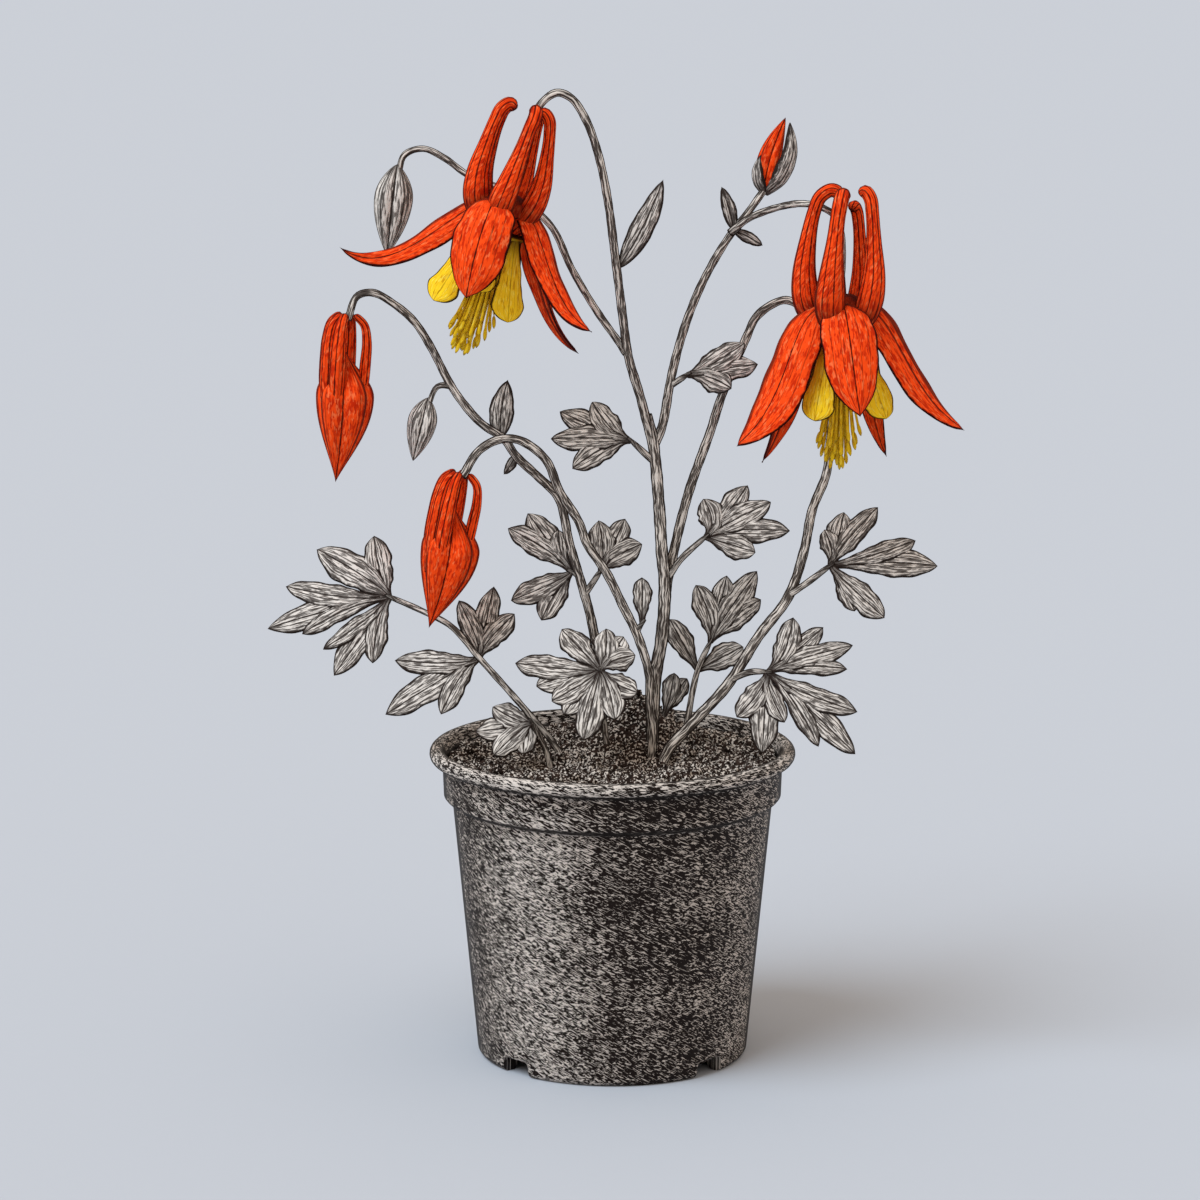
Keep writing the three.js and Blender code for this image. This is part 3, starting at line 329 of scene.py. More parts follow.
def skin(loops: Array, traits: Array, first: Array, last: Array) -> Patch:
    """A closed skin over rows of loops, with one point closing each end.

    Args:
        loops: points as rows, columns and coordinates; a row is a closed loop.
        traits: traits as rows, columns plus one, and traits.
        first, last: the points that close the two ends.

    Returns:
        The patch, with its faces outwards.
    """
    count, columns = loops.shape[:2]
    k, i = np.meshgrid(np.arange(count - 1), np.arange(columns), indexing="ij")
    steps = ((0, 0), (0, 1), (1, 1), (1, 0))
    quads = np.stack([(k + a) * columns + (i + b) % columns for a, b in steps], axis=-1).reshape(-1, 4)
    quad_traits = np.stack([traits[k + a, i + b] for a, b in steps], axis=-2).reshape(-1, 4, len(Trait))
    j = np.arange(columns)
    after = (j + 1) % columns
    none = np.full(columns, -1)
    total = count * columns
    top = (count - 1) * columns
    fans = [
        np.stack([np.full(columns, total), after, j, none], axis=1),
        np.stack([np.full(columns, total + 1), top + j, top + after, none], axis=1),
    ]
    fan_traits = []
    for row, order in ((0, (j + 1, j)), (count - 1, (j, j + 1))):
        tip = (traits[row, j] + traits[row, j + 1]) / 2
        fan_traits.append(np.stack([tip, traits[row, order[0]], traits[row, order[1]], tip], axis=1))
    points = np.vstack([loops.reshape(-1, 3), first, last])
    return Patch(points, np.vstack([quads, *fans]), np.concatenate([quad_traits, *fan_traits])).outward()


@dataclass(frozen=True)
class Ribs:
    """Lengthwise ribs of a round bar: how many, and their height as a share of its radius."""

    count: int = 6
    height: float = 0.05


def tube(
    path: Array,
    along: Array,
    radius: Array,
    hint: Array = Y_AXIS,
    sides: int = 24,
    ribs: Ribs = Ribs(),
    chance: float = 0.0,
    shade: Array | float = 0.0,
) -> Patch:
    """A ribbed round bar along a path.

    At each point of the path a circle of the given radius stands square to it, and the radius swells by the
    ribs' share times the cosine of the ribs' number times the angle. Dark lines run in the hollows between
    the ribs.

    Args:
        path: points along the middle.
        along: distance of each point from the start.
        radius: radius at each point.
        hint: direction in which a circle's angle starts, made square to the path.
        sides: points of a circle.
        ribs: the ribs.
        chance: random share for the finish.
        shade: share of darkening at each point.

    Returns:
        The closed bar.
    """
    tangent = unit(np.gradient(path, axis=0))
    side = unit(hint - np.sum(hint * tangent, axis=1, keepdims=True) * tangent)
    across = np.cross(tangent, side)
    angle = np.linspace(0.0, 2 * np.pi, sides + 1)
    swell = 1 + ribs.height * np.cos(ribs.count * angle[:-1])
    reach = radius[:, None, None] * swell[None, :, None]
    turn = angle[:-1, None]
    loops = path[:, None] + reach * (np.cos(turn) * side[:, None] + np.sin(turn) * across[:, None])
    spacing = 2 * np.pi / ribs.count
    off_hollow = np.abs((angle % spacing) - spacing / 2)
    traits = corner_traits(
        (len(path), sides + 1),
        across=angle[None] * radius[:, None],
        along=along[:, None],
        chance=chance,
        line=off_hollow[None] * radius[:, None],
        side=angle[None] / spacing,
        shade=np.broadcast_to(np.asarray(shade, float), (len(path),))[:, None],
        **{f"axis_{name}": column[:, None] for name, column in zip("xyz", tangent.T)},
    )
    return skin(loops, traits, path[0], path[-1])


@dataclass(frozen=True)
class Cut:
    """How a strap is cut and shaped, in millimetres.

    The cup is the drop of its edges as a share of its half width. The groove is the depth of its middle
    groove, the wave the height of the waves along its edge, and the jag the share by which its outline
    wanders. Veins is how many side veins each half has, and base how far the dark of its foot reaches.
    """

    thickness: float = 0.9
    cup: float = 0.3
    groove: float = 0.45
    wave: float = 0.3
    jag: float = 0.03
    veins: float = 3.0
    base: float = 5.0

    ENDS = (0.02, 0.985)  # share of the run at the first and at the last cross section
    BLUNT = 30  # power of the share run that closes the tip
    THIN_BELOW = 1.2  # half width under which the blade is thinner too
    GROOVE_WIDTH = 0.75
    JAGS = 2.3  # turns of the outline's wandering over the length
    WAVES = 2.6  # turns of the edge's waves over the length


def strap(
    line: Callable[[Array], Array],
    half_width: Callable[[Array], Array],
    facing: Array,
    cut: Cut,
    rows: int,
    columns: int,
    chance: float,
) -> Patch:
    """A strap-like blade along a curve.

    Across the blade, v runs from -1 to 1. A point lies v half widths beside the middle line, and below it
    by the cup times the half width times v squared. A bell-shaped groove follows the middle, and the edge
    rises and falls by a sine of the length. The outline wanders by another sine, with its own phase on each
    side. The thickness is the cut's times the root of one less v to the sixth.

    Args:
        line: the middle line's point for a share of its run.
        half_width: half of the width for a share of the run.
        facing: direction that the outer face looks in.
        cut: how the blade is shaped.
        rows: cross sections along the blade.
        columns: points across one face.
        chance: random share for the finish and the waves.

    Returns:
        The closed blade.
    """
    t = 0.5 - 0.5 * np.cos(np.pi * np.linspace(*cut.ENDS, rows))
    centre = line(t)
    tangent = unit(np.gradient(centre, axis=0))
    side = unit(np.cross(tangent, facing))
    normal = np.cross(side, tangent)
    half = half_width(t) * np.sqrt(1 - t**cut.BLUNT)
    run = run_along(centre)
    v = np.linspace(1.0, -1.0, columns)
    ring = np.concatenate([v, v[-2:0:-1]])
    face = np.concatenate([np.ones(columns), -np.ones(columns - 2)])
    phase = 2 * np.pi * (cut.JAGS * t[:, None] + 3.7 * chance + 0.41 * (ring[None] > 0))
    jagged = cut.jag * np.abs(ring)[None] * (np.sin(phase) + 0.6 * np.sin(cut.JAGS * phase))
    x = half[:, None] * ring[None] * (1 + jagged * smooth(0.15, 0.4, t)[:, None])
    depth = cut.thickness / 2 * np.sqrt(1 - ring**6) * face
    thin = np.minimum(1.0, half / cut.THIN_BELOW)[:, None]
    lift = depth[None] * thin - cut.cup * half[:, None] * ring[None] ** 2
    lift = lift - cut.groove * bell(x, cut.GROOVE_WIDTH) * (smooth(0, 0.12, t) * smooth(1, 0.8, t))[:, None]
    waves = np.sin(2 * np.pi * (cut.WAVES * t[:, None] + chance) + 1.3 * ring[None])
    lift = lift + cut.wave * ring[None] ** 2 * waves
    loops = centre[:, None] + x[..., None] * side[:, None] + lift[..., None] * normal[:, None]
    around = np.concatenate([ring, ring[:1]])[None]
    traits = corner_traits(
        (rows, len(ring) + 1),
        across=around * np.max(half),
        along=run[:, None],
        chance=chance,
        rim=(1 - np.abs(around)) * half[:, None],
        line=np.abs(around) * half[:, None],
        side=around * cut.veins,
        shade=bell(run, cut.base)[:, None],
    )
    return skin(loops, traits, line(np.array([0.0]))[0], line(np.array([1.0]))[0])


# -------------------------------------------------- finishes


class Graph:
    """A node tree written by hand: it adds nodes, sets or links their inputs and gives back an output."""

    def __init__(self, tree: Tree) -> None:
        """Keeps the tree that the nodes go into."""
        self.tree = tree

    def use(
        self, kind: str, inputs: Mapping[str | int, Feed], output: str | int = 0, **settings: object
    ) -> Socket:
        """Adds one node.

        Args:
            kind: the node's type.
            inputs: a socket to link or a value to set, by the input's name or number.
            output: name or number of the wanted output.
            settings: the node's own options.

        Returns:
            The output socket.
        """
        node = self.tree.nodes.new(kind)
        for name, value in settings.items():
            setattr(node, name, value)
        for key, feed in inputs.items():
            if isinstance(feed, Socket):
                self.tree.links.new(feed, node.inputs[key])
            else:
                node.inputs[key].default_value = feed
        return node.outputs[output]

    def math(self, operation: str, a: Feed, b: Feed = 0.0, clamp: bool = False) -> Socket:
        """One step of arithmetic on two values."""
        return self.use("ShaderNodeMath", {0: a, 1: b}, operation=operation, use_clamp=clamp)

    def times(self, a: Feed, b: Feed, clamp: bool = False) -> Socket:
        """The product of two values."""
        return self.math("MULTIPLY", a, b, clamp)

    def plus(self, a: Feed, b: Feed) -> Socket:
        """The sum of two values."""
        return self.math("ADD", a, b)

    def less(self, a: Feed, b: Feed, clamp: bool = False) -> Socket:
        """The first value less the second."""
        return self.math("SUBTRACT", a, b, clamp)

    def largest(self, values: Sequence[Socket]) -> Socket:
        """The largest of some values."""
        return reduce(partial(self.math, "MAXIMUM"), values)

    def vector(self, operation: str, a: Feed, b: Feed = (0.0, 0.0, 0.0), output: str = "Vector") -> Socket:
        """One step of arithmetic on two vectors."""
        return self.use("ShaderNodeVectorMath", {0: a, 1: b}, output, operation=operation)

    def point(self, x: Feed, y: Feed, z: Feed = 0.0) -> Socket:
        """A vector of three coordinates."""
        return self.use("ShaderNodeCombineXYZ", {0: x, 1: y, 2: z})

    def parts(self, vector: Feed) -> Sequence[Socket]:
        """The three coordinates of a vector."""
        return self.use("ShaderNodeSeparateXYZ", {0: vector}).node.outputs

    def place(self) -> Socket:
        """The place on the piece, in metres."""
        return self.use("ShaderNodeTexCoord", {}, "Object")

    def trait(self, name: str, output: str = "Vector") -> Socket:
        """What the mesh says of its corners under a name."""
        return self.use("ShaderNodeAttribute", {}, output, attribute_name=name)

    def between(self, value: Feed, low: Feed, high: Feed) -> Socket:
        """The smooth step of a value from low to high; it falls instead where low is the larger."""
        inputs = {"Value": value, "From Min": low, "From Max": high}
        return self.use("ShaderNodeMapRange", inputs, interpolation_type="SMOOTHSTEP")

    def blend(self, share: Feed, a: Feed, b: Feed) -> Socket:
        """Colour a with a share of colour b over it."""
        return self.use("ShaderNodeMix", {0: share, 6: a, 7: b}, 2, data_type="RGBA")

    def noise(self, place: Feed, scale: float, detail: float = 2.0) -> Socket:
        """The height of a three-dimensional noise."""
        return self.use("ShaderNodeTexNoise", {"Vector": place, "Scale": scale, "Detail": detail}, "Fac")

    def group(self, tree: Tree, inputs: Mapping[str | int, Feed]) -> Socket:
        """A shared effect's mask."""
        return self.use("ShaderNodeGroup", inputs, "Mask", node_tree=tree)

    def relief(self, height: Socket, millimetres: float, strength: float) -> Socket:
        """A normal tilted by a height of some millimetres."""
        inputs = {"Height": height, "Distance": millimetres * MM, "Strength": strength}
        return self.use("ShaderNodeBump", inputs)

    def surface(self, colour: Socket, roughness: Feed, normal: Socket, specular: float) -> None:
        """Ends a material with one Principled BSDF."""
        self.finish(self.use("ShaderNodeBsdfPrincipled", {
            "Base Color": colour, "Roughness": roughness, "Normal": normal, "Specular IOR Level": specular,
        }))

    def finish(self, surface: Socket, kind: str = "ShaderNodeOutputMaterial") -> None:
        """Links a shader to the tree's output."""
        self.tree.links.new(surface, self.tree.nodes.new(kind).inputs["Surface"])


class Effects:
    """Shader groups that several finishes share. Each has number inputs and puts out one mask."""

    @staticmethod
    def _group(
        name: str, inputs: Mapping[str, float], fill: Callable[[Graph, Mapping[str, Socket]], Socket]
    ) -> Tree:
        """Gives a group by its name, and builds it the first time.

        Args:
            name: the group's name.
            inputs: each input's name and usual value.
            fill: adds the nodes, from the graph and the group's inputs, and gives the mask.

        Returns:
            The group.
        """
        if name in bpy.data.node_groups:
            return bpy.data.node_groups[name]
        tree = bpy.data.node_groups.new(name, "ShaderNodeTree")
        for title, value in inputs.items():
            socket = tree.interface.new_socket(title, in_out="INPUT", socket_type="NodeSocketFloat")
            socket.default_value = value
        tree.interface.new_socket("Mask", in_out="OUTPUT", socket_type="NodeSocketFloat")
        mask = fill(Graph(tree), tree.nodes.new("NodeGroupInput").outputs)
        tree.links.new(mask, tree.nodes.new("NodeGroupOutput").inputs["Mask"])
        return tree

    @classmethod
    def strokes(cls) -> Tree:
        """Fine strokes along the grain.

        Noise is stretched along the grain and cut off at a level that falls from 0.75 to 0.28 as the strokes
        cover more.

        Returns:
            The group.
        """

        def fill(graph: Graph, at: Mapping[str, Socket]) -> Socket:
            """The share by which the stretched noise is above the level."""
            across = graph.math("DIVIDE", at["Across"], at["Width"])
            along = graph.math("DIVIDE", at["Along"], at["Length"])
            height = graph.noise(graph.point(across, along, graph.times(at["Chance"], 61.0)), 1.0, 2.5)
            level = graph.use("ShaderNodeMapRange", {"Value": at["Cover"], "To Min": 0.75, "To Max": 0.28})
            low, high = graph.less(level, at["Softness"]), graph.plus(level, at["Softness"])
            return graph.between(height, low, high)

        inputs = {
            "Across": 0.0, "Along": 0.0, "Chance": 0.0, "Width": 0.6, "Length": 5.0, "Cover": 0.4,
            "Softness": 0.06,
        }
        return cls._group("fine strokes", inputs, fill)

    @classmethod
    def line(cls) -> Tree:
        """A drawn line, dark up to its width from where the distance is nil.

        Noise makes its width uneven and leaves some gaps, and its edge fades from the width to 0.45 of it.

        Returns:
            The group.
        """

        def fill(graph: Graph, at: Mapping[str, Socket]) -> Socket:
            """The share by which the distance is within the uneven width."""
            across, along = graph.times(at["Across"], 0.5), graph.times(at["Along"], 0.45)
            place = graph.point(across, along, graph.times(at["Chance"], 43.0))
            uneven = graph.less(graph.noise(place, 1.0, 2.0), 0.5)
            width = graph.times(at["Width"], graph.plus(1.0, graph.times(uneven, 2.0)))
            return graph.between(at["Distance"], width, graph.times(width, 0.45))

        inputs = {"Distance": 0.0, "Width": 0.3, "Across": 0.0, "Along": 0.0, "Chance": 0.0}
        return cls._group("drawn line", inputs, fill)


def turned_round_bar(graph: Graph, facing: Socket, axis: Socket) -> Socket:
    """How far a bar's surface turns away from the eye round the bar's axis alone.

    The cosine between the surface and the eye is divided by the sine between the axis and the eye, which
    counts as 0.15 at least, so that a bar that leans towards the eye isn't all contour.

    Args:
        graph: the material's nodes.
        facing: the share of turning away, as Layer Weight gives it.
        axis: the direction of the bar's axis.

    Returns:
        One less that cosine.
    """
    off_axis = graph.use("ShaderNodeLayerWeight", {"Blend": 0.5, "Normal": axis}, "Facing")
    end_on = graph.less(1.0, off_axis)
    square = graph.less(1.0, graph.times(end_on, end_on), clamp=True)
    sine = graph.math("MAXIMUM", graph.math("SQRT", square), 0.15)
    return graph.less(1.0, graph.math("DIVIDE", graph.less(1.0, facing), sine), clamp=True)


class Finish(ABC):
    """A finish, whose material is built once."""

    name: str

    def material(self) -> bpy.types.Material:
        """Builds the material, or gives the one that was built before.

        Returns:
            The material.
        """
        if self.name in bpy.data.materials:
            return bpy.data.materials[self.name]
        material = bpy.data.materials.new(self.name)
        material.use_nodes = True
        material.node_tree.nodes.clear()
        self._fill(Graph(material.node_tree))
        return material

    @abstractmethod
    def _fill(self, graph: Graph) -> None:
        """Adds the material's nodes."""


@dataclass(frozen=True)
class Strokes:
    """One layer of strokes: its colour, each stroke's width and length in millimetres, the share that they
    cover and how strongly they show."""

    colour: int
    width: float
    length: float
    cover: float
    strength: float = 1.0


@dataclass(frozen=True)
class TissueFinish(Finish):
    """Living tissue with fine strokes along its grain, dark rims, veins or grooves, and darker joints.

    Widths are in millimetres, apart from the side veins' width, which is a share of their spacing. The
    contour is the share of turning away from the eye at which the tissue goes dark. On a bar only the turn
    round its axis counts.
    """

    name: str
    body: int
    ink: int
    layers: tuple[Strokes, ...]
    rim_width: float = 0.45
    line_width: float = 0.3
    line_strength: float = 0.9
    side_width: float = 0.1
    side_strength: float = 0.7
    contour: float = 0.6
    contour_strength: float = 0.8
    is_bar: bool = False
    shade_strength: float = 0.75
    roughness: float = 0.7
    sheen: float = 0.15

    SIDE_PERIOD = 1.0  # spacing of the side veins in their own coordinate
    CONTOUR_FADE = (-0.06, 0.08)  # where the contour starts and is full, from its share
    RELIEF = (0.12, 0.7)  # depth of the drawn lines in millimetres, and its strength
    INK_ROUGHER = 0.2
    PATCHES = 0.22  # broad soft patches in a millimetre
    VARIATION = 0.12  # share by which the patches are darker or lighter

    def _fill(self, graph: Graph) -> None:
        """Adds the body colour, the strokes over it, then the drawn lines, and the dark of the joints over
        all.

        Args:
            graph: the material's nodes.
        """
        across, along, chance = graph.parts(graph.trait("grain"))
        flow = {"Across": across, "Along": along, "Chance": chance}
        inks = []
        for layer in self.layers:
            mask = graph.group(Effects.strokes(), {
                **flow, "Width": layer.width, "Length": layer.length, "Cover": layer.cover,
            })
            inks.append((graph.times(mask, layer.strength), layer.colour))
        inks += [(mask, self.ink) for mask in self._drawn(graph, flow)]
        dark = graph.times(graph.trait("shade", "Fac"), self.shade_strength, clamp=True)
        patch = graph.noise(graph.point(across, along, chance), self.PATCHES, 2.0)
        share = graph.use("ShaderNodeMapRange", {"Value": patch, "From Min": 0.3, "From Max": 0.7})
        base = np.array(linear(self.body))[:3]
        darker, lighter = base * (1 - self.VARIATION), np.minimum(base * (1 + self.VARIATION), 1.0)
        colour = graph.blend(share, (*darker, 1.0), (*lighter, 1.0))
        for mask, code in (*inks, (dark, self.ink)):
            colour = graph.blend(mask, colour, linear(code))
        deep = graph.largest([mask for mask, _ in inks])
        rough = graph.use("ShaderNodeMapRange", {
            "Value": deep, "To Min": self.roughness, "To Max": min(1.0, self.roughness + self.INK_ROUGHER),
        })
        graph.surface(colour, rough, graph.relief(graph.less(1.0, deep), *self.RELIEF), self.sheen)

    def _drawn(self, graph: Graph, flow: Mapping[str, Socket]) -> list[Socket]:
        """The masks of the drawn lines.

        Args:
            graph: the material's nodes.
            flow: the place across and along the grain, and the random share.

        Returns:
            The masks of the side veins, the main lines, the rim and the contour.
        """
        rim, line, side = graph.parts(graph.trait("lines"))
        kinds = (
            (graph.math("PINGPONG", side, self.SIDE_PERIOD / 2), self.side_width, self.side_strength),
            (line, self.line_width, self.line_strength),
            (rim, self.rim_width, 1.0),
        )
        masks = []
        for at, width, strength in kinds:
            mask = graph.group(Effects.line(), {"Distance": at, "Width": width, **flow})
            masks.append(graph.times(mask, strength))
        facing = graph.use("ShaderNodeLayerWeight", {"Blend": 0.5}, "Facing")
        if self.is_bar:
            facing = turned_round_bar(graph, facing, graph.trait("axis"))
        starts, full = self.CONTOUR_FADE
        turned_away = graph.between(facing, self.contour + starts, self.contour + full)
        return [*masks, graph.times(turned_away, self.contour_strength)]


@dataclass(frozen=True)
class Scuffs:
    """One layer of scuffs: each one's width and length in millimetres, the share that they cover, how far
    they slant, and how much more they cover in the bands of painted highlight and on the pot's rim."""

    width: float
    length: float
    cover: float
    slant: float = 0.0
    on_highlight: float = 0.0
    on_rim: float = 0.0


@dataclass(frozen=True)
class PotFinish(Finish):
    """Dark moulded plastic with pale scuffs: short and slanting on the wall, longer and level on the rim.

    The painted highlight names the azimuths in degrees, from the front to the right, of two upright bands
    where the scuffs are denser and paler as painted highlight and painted reflection, and how strong each
    band is.
    """

    rim_z: float
    collar_z: float
    name: str = "pot plastic"
    body: int = 0x19110E
    ink: int = 0x120C0A
    scuff: int = 0xC6BCB3
    # painted highlight and reflection: two upright bands where the scuffs are denser and paler; the paler
    # scuff colour also serves the rim
    highlight_and_rim_scuff: int = 0xD6CDC5
    painted_highlight: tuple[tuple[float, float], ...] = ((-32.0, 0.85), (68.0, 0.4))
    highlight_power: float = 18.0
    layers: tuple[Scuffs, ...] = (
        Scuffs(0.62, 1.5, 0.19, slant=1.9, on_highlight=0.12),
        Scuffs(1.5, 0.6, 0.13, on_highlight=0.12),
        Scuffs(2.6, 0.5, -0.14, on_rim=0.39),
    )
    scuff_edge: float = 0.018
    scuff_strength: float = 0.92
    ink_strength: float = 0.9
    roughness: tuple[float, float] = (0.5, 0.75)
    specular: float = 0.1

    DRIFT = (0.06, 0.26)  # broad patches in a millimetre, and how much more the scuffs cover in them
    # painted shade: dark lines under the rim's roll and under the collar
    RIM_SHADE_LINE = (0.1, 1.2)  # millimetres above the rim's foot, and the line's width
    COLLAR_SHADE_LINE = (0.7, 1.1)  # the same for the collar's foot
    WALL_CONTOUR = (0.8, 0.86)  # shares of turning away between which the wall goes dark
    ROLL_CONTOUR = (0.4, 0.62)  # the same for the rim's roll
    RELIEF = (0.08, 0.5)  # height of the scuffs in millimetres, and its strength

    def _highlight_share(self, graph: Graph, place: Socket) -> Socket:
        """Share of painted highlight: two soft upright bands, a painted highlight and a painted reflection.

        A band is a power of the share of the way from 66 degrees off its middle to its middle, times its
        strength.

        Args:
            graph: the material's nodes.
            place: the place on the pot.

        Returns:
            The share, uneven in patches.
        """
        radius = graph.vector("LENGTH", graph.vector("MULTIPLY", place, (1.0, 1.0, 0.0)), output="Value")
        bands = []
        for azimuth, strength in self.painted_highlight:
            middle = (math.sin(math.radians(azimuth)), -math.cos(math.radians(azimuth)), 0.0)
            towards = graph.vector("DOT_PRODUCT", place, middle, "Value")
            share = graph.between(graph.math("DIVIDE", towards, radius), 0.4, 1.0)
            bands.append(graph.times(graph.math("POWER", share, self.highlight_power), strength))
        patches = graph.noise(place, 45.0, 3.0)
        return graph.times(reduce(graph.plus, bands), graph.plus(patches, 0.45), clamp=True)

    def _fill(self, graph: Graph) -> None:
        """Adds the scuffs over the body colour, denser and paler in the painted highlight, and the ink over
        both: contours, and uneven lines of painted shade under the rim's roll and under the collar.

        Args:
            graph: the material's nodes.
        """
        across, along, _ = graph.parts(graph.trait("grain"))
        place = graph.place()
        height = graph.parts(place)[2]
        # painted highlight: share of the two bands of painted highlight and painted reflection
        painted_highlight = self._highlight_share(graph, place)
        on_rim = graph.between(height, (self.rim_z - 1.0) * MM, (self.rim_z + 0.5) * MM)
        patches, more_in_patches = self.DRIFT
        drift = graph.times(graph.noise(graph.point(across, along), patches, 2.0), more_in_patches)
        masks = []
        for k, layer in enumerate(self.layers):
            more = graph.plus(graph.times(painted_highlight, layer.on_highlight), graph.times(on_rim, layer.on_rim))
            masks.append(graph.group(Effects.strokes(), {
                "Across": graph.plus(across, graph.times(along, layer.slant)), "Along": along,
                "Chance": 0.1 + 0.3 * k, "Width": layer.width, "Length": layer.length,
                "Cover": graph.plus(graph.plus(more, layer.cover), drift), "Softness": self.scuff_edge,
            }))
        scuffs = graph.largest(masks)
        # paler scuffs in the painted highlight and on the rim
        pale = graph.blend(graph.math("MAXIMUM", painted_highlight, on_rim), linear(self.scuff), linear(self.highlight_and_rim_scuff))
        colour = graph.blend(graph.times(scuffs, self.scuff_strength), linear(self.body), pale)
        facing = graph.use("ShaderNodeLayerWeight", {"Blend": 0.5}, "Facing")
        round_rim = graph.vector("NORMALIZE", graph.vector("CROSS_PRODUCT", (0.0, 0.0, 1.0), place))
        on_roll = graph.between(turned_round_bar(graph, facing, round_rim), *self.ROLL_CONTOUR)
        ink_and_shade = [graph.between(facing, *self.WALL_CONTOUR), graph.times(on_rim, on_roll)]
        # painted shade: dark lines in the ink colour under the rim's roll and under the collar
        for foot, (above, width) in ((self.rim_z, self.RIM_SHADE_LINE), (self.collar_z, self.COLLAR_SHADE_LINE)):
            off = graph.math("ABSOLUTE", graph.less(graph.math("DIVIDE", height, MM), foot + above))
            ink_and_shade.append(graph.group(Effects.line(), {"Distance": off, "Width": width, "Along": across}))
        for mask in ink_and_shade:
            colour = graph.blend(graph.times(mask, self.ink_strength), colour, linear(self.ink))
        low, high = self.roughness
        rough = graph.use("ShaderNodeMapRange", {"Value": scuffs, "To Min": low, "To Max": high})
        graph.surface(colour, rough, graph.relief(scuffs, *self.RELIEF), self.specular)


@dataclass(frozen=True)
class SoilFinish(Finish):
    """Dark potting soil with pale flecks. Lumps, patches and flecks are counted in a metre."""

    name: str = "potting soil"
    body: int = 0x2C211C
    fleck: int = 0xD6CCC2
    lumps: float = 420.0
    patches: float = 60.0
    flecks: float = 1250.0
    tones: tuple[float, float] = (0.55, 1.5)
    fleck_strength: float = 0.9
    roughness: float = 0.95
    specular: float = 0.1

    FLECK_LEVEL = (0.54, 0.6)  # heights of the noise between which a fleck shows
    LUMP_LEVEL = (0.4, 0.62)  # the same between a hollow and a lump
    PATCH_SHARE = 0.2
    RELIEF = (0.5, 0.7)  # height of the lumps in millimetres, and its strength

    def _fill(self, graph: Graph) -> None:
        """Adds dark hollows, lighter lumps, and flecks that gather in patches.

        Args:
            graph: the material's nodes.
        """
        place = graph.place()
        lumps = graph.noise(place, self.lumps, 4.0)
        patches = graph.times(graph.less(graph.noise(place, self.patches, 2.0), 0.5), self.PATCH_SHARE)
        flecks = graph.plus(graph.noise(place, self.flecks, 1.5), patches)
        base = np.array(linear(self.body))[:3]
        dark, light = ((*(base * tone), 1.0) for tone in self.tones)
        colour = graph.blend(graph.between(lumps, *self.LUMP_LEVEL), dark, light)
        shown = graph.times(graph.between(flecks, *self.FLECK_LEVEL), self.fleck_strength)
        colour = graph.blend(shown, colour, linear(self.fleck))
        graph.surface(colour, self.roughness, graph.relief(lumps, *self.RELIEF), self.specular)


LEAF_FINISH = TissueFinish(
    name="leaf tissue",
    body=0xDFD8D1,
    ink=0x2A211D,
    layers=(
        Strokes(colour=0x2C231F, width=0.46, length=3.6, cover=0.5, strength=0.85),
        Strokes(colour=0x40352F, width=0.8, length=5.0, cover=0.22, strength=0.7),
    ),
    rim_width=0.95,
    line_width=0.34,
    side_width=0.15,
    side_strength=0.85,
)
STEM_FINISH = TissueFinish(
    name="stem tissue",
    body=0xDCD3CA,
    ink=0x211915,
    layers=(
        Strokes(colour=0x2A1F19, width=0.5, length=6.0, cover=0.58, strength=0.92),
        Strokes(colour=0xEDE5DC, width=0.5, length=5.0, cover=0.24, strength=0.7),
    ),
    line_width=0.2,
    line_strength=0.85,
    side_strength=0.0,
    contour=0.25,
    contour_strength=1.0,
    is_bar=True,
    shade_strength=0.85,
)
SEPAL_FINISH = TissueFinish(
    name="sepal tissue",
    body=0xFB4A12,
    ink=0x340A08,
    layers=(
        Strokes(colour=0xB81E05, width=0.72, length=3.2, cover=0.45, strength=0.8),
        Strokes(colour=0xFF7F4A, width=0.7, length=2.6, cover=0.3, strength=0.65),
        Strokes(colour=0x5E0E08, width=0.6, length=6.0, cover=0.14, strength=0.8),
    ),
    rim_width=0.6,
    line_width=0.3,
    side_width=0.07,
    side_strength=0.45,
    contour=0.53,
    roughness=0.75,
    sheen=0.06,
)
BLADE_FINISH = TissueFinish(
    name="petal blade tissue",
    body=0xFFCB22,
    ink=0x3E2A08,
    layers=(
        Strokes(colour=0xC0820E, width=0.7, length=4.0, cover=0.3, strength=0.75),
        Strokes(colour=0xFFE45A, width=0.7, length=3.0, cover=0.34, strength=0.7),
    ),
    rim_width=0.6,
    line_width=0.2,
    line_strength=0.35,
    side_width=0.06,
    side_strength=0.3,
    contour=0.5,
    contour_strength=0.85,
    roughness=0.75,
    sheen=0.06,
)


# ---------------------------------------------------- pieces


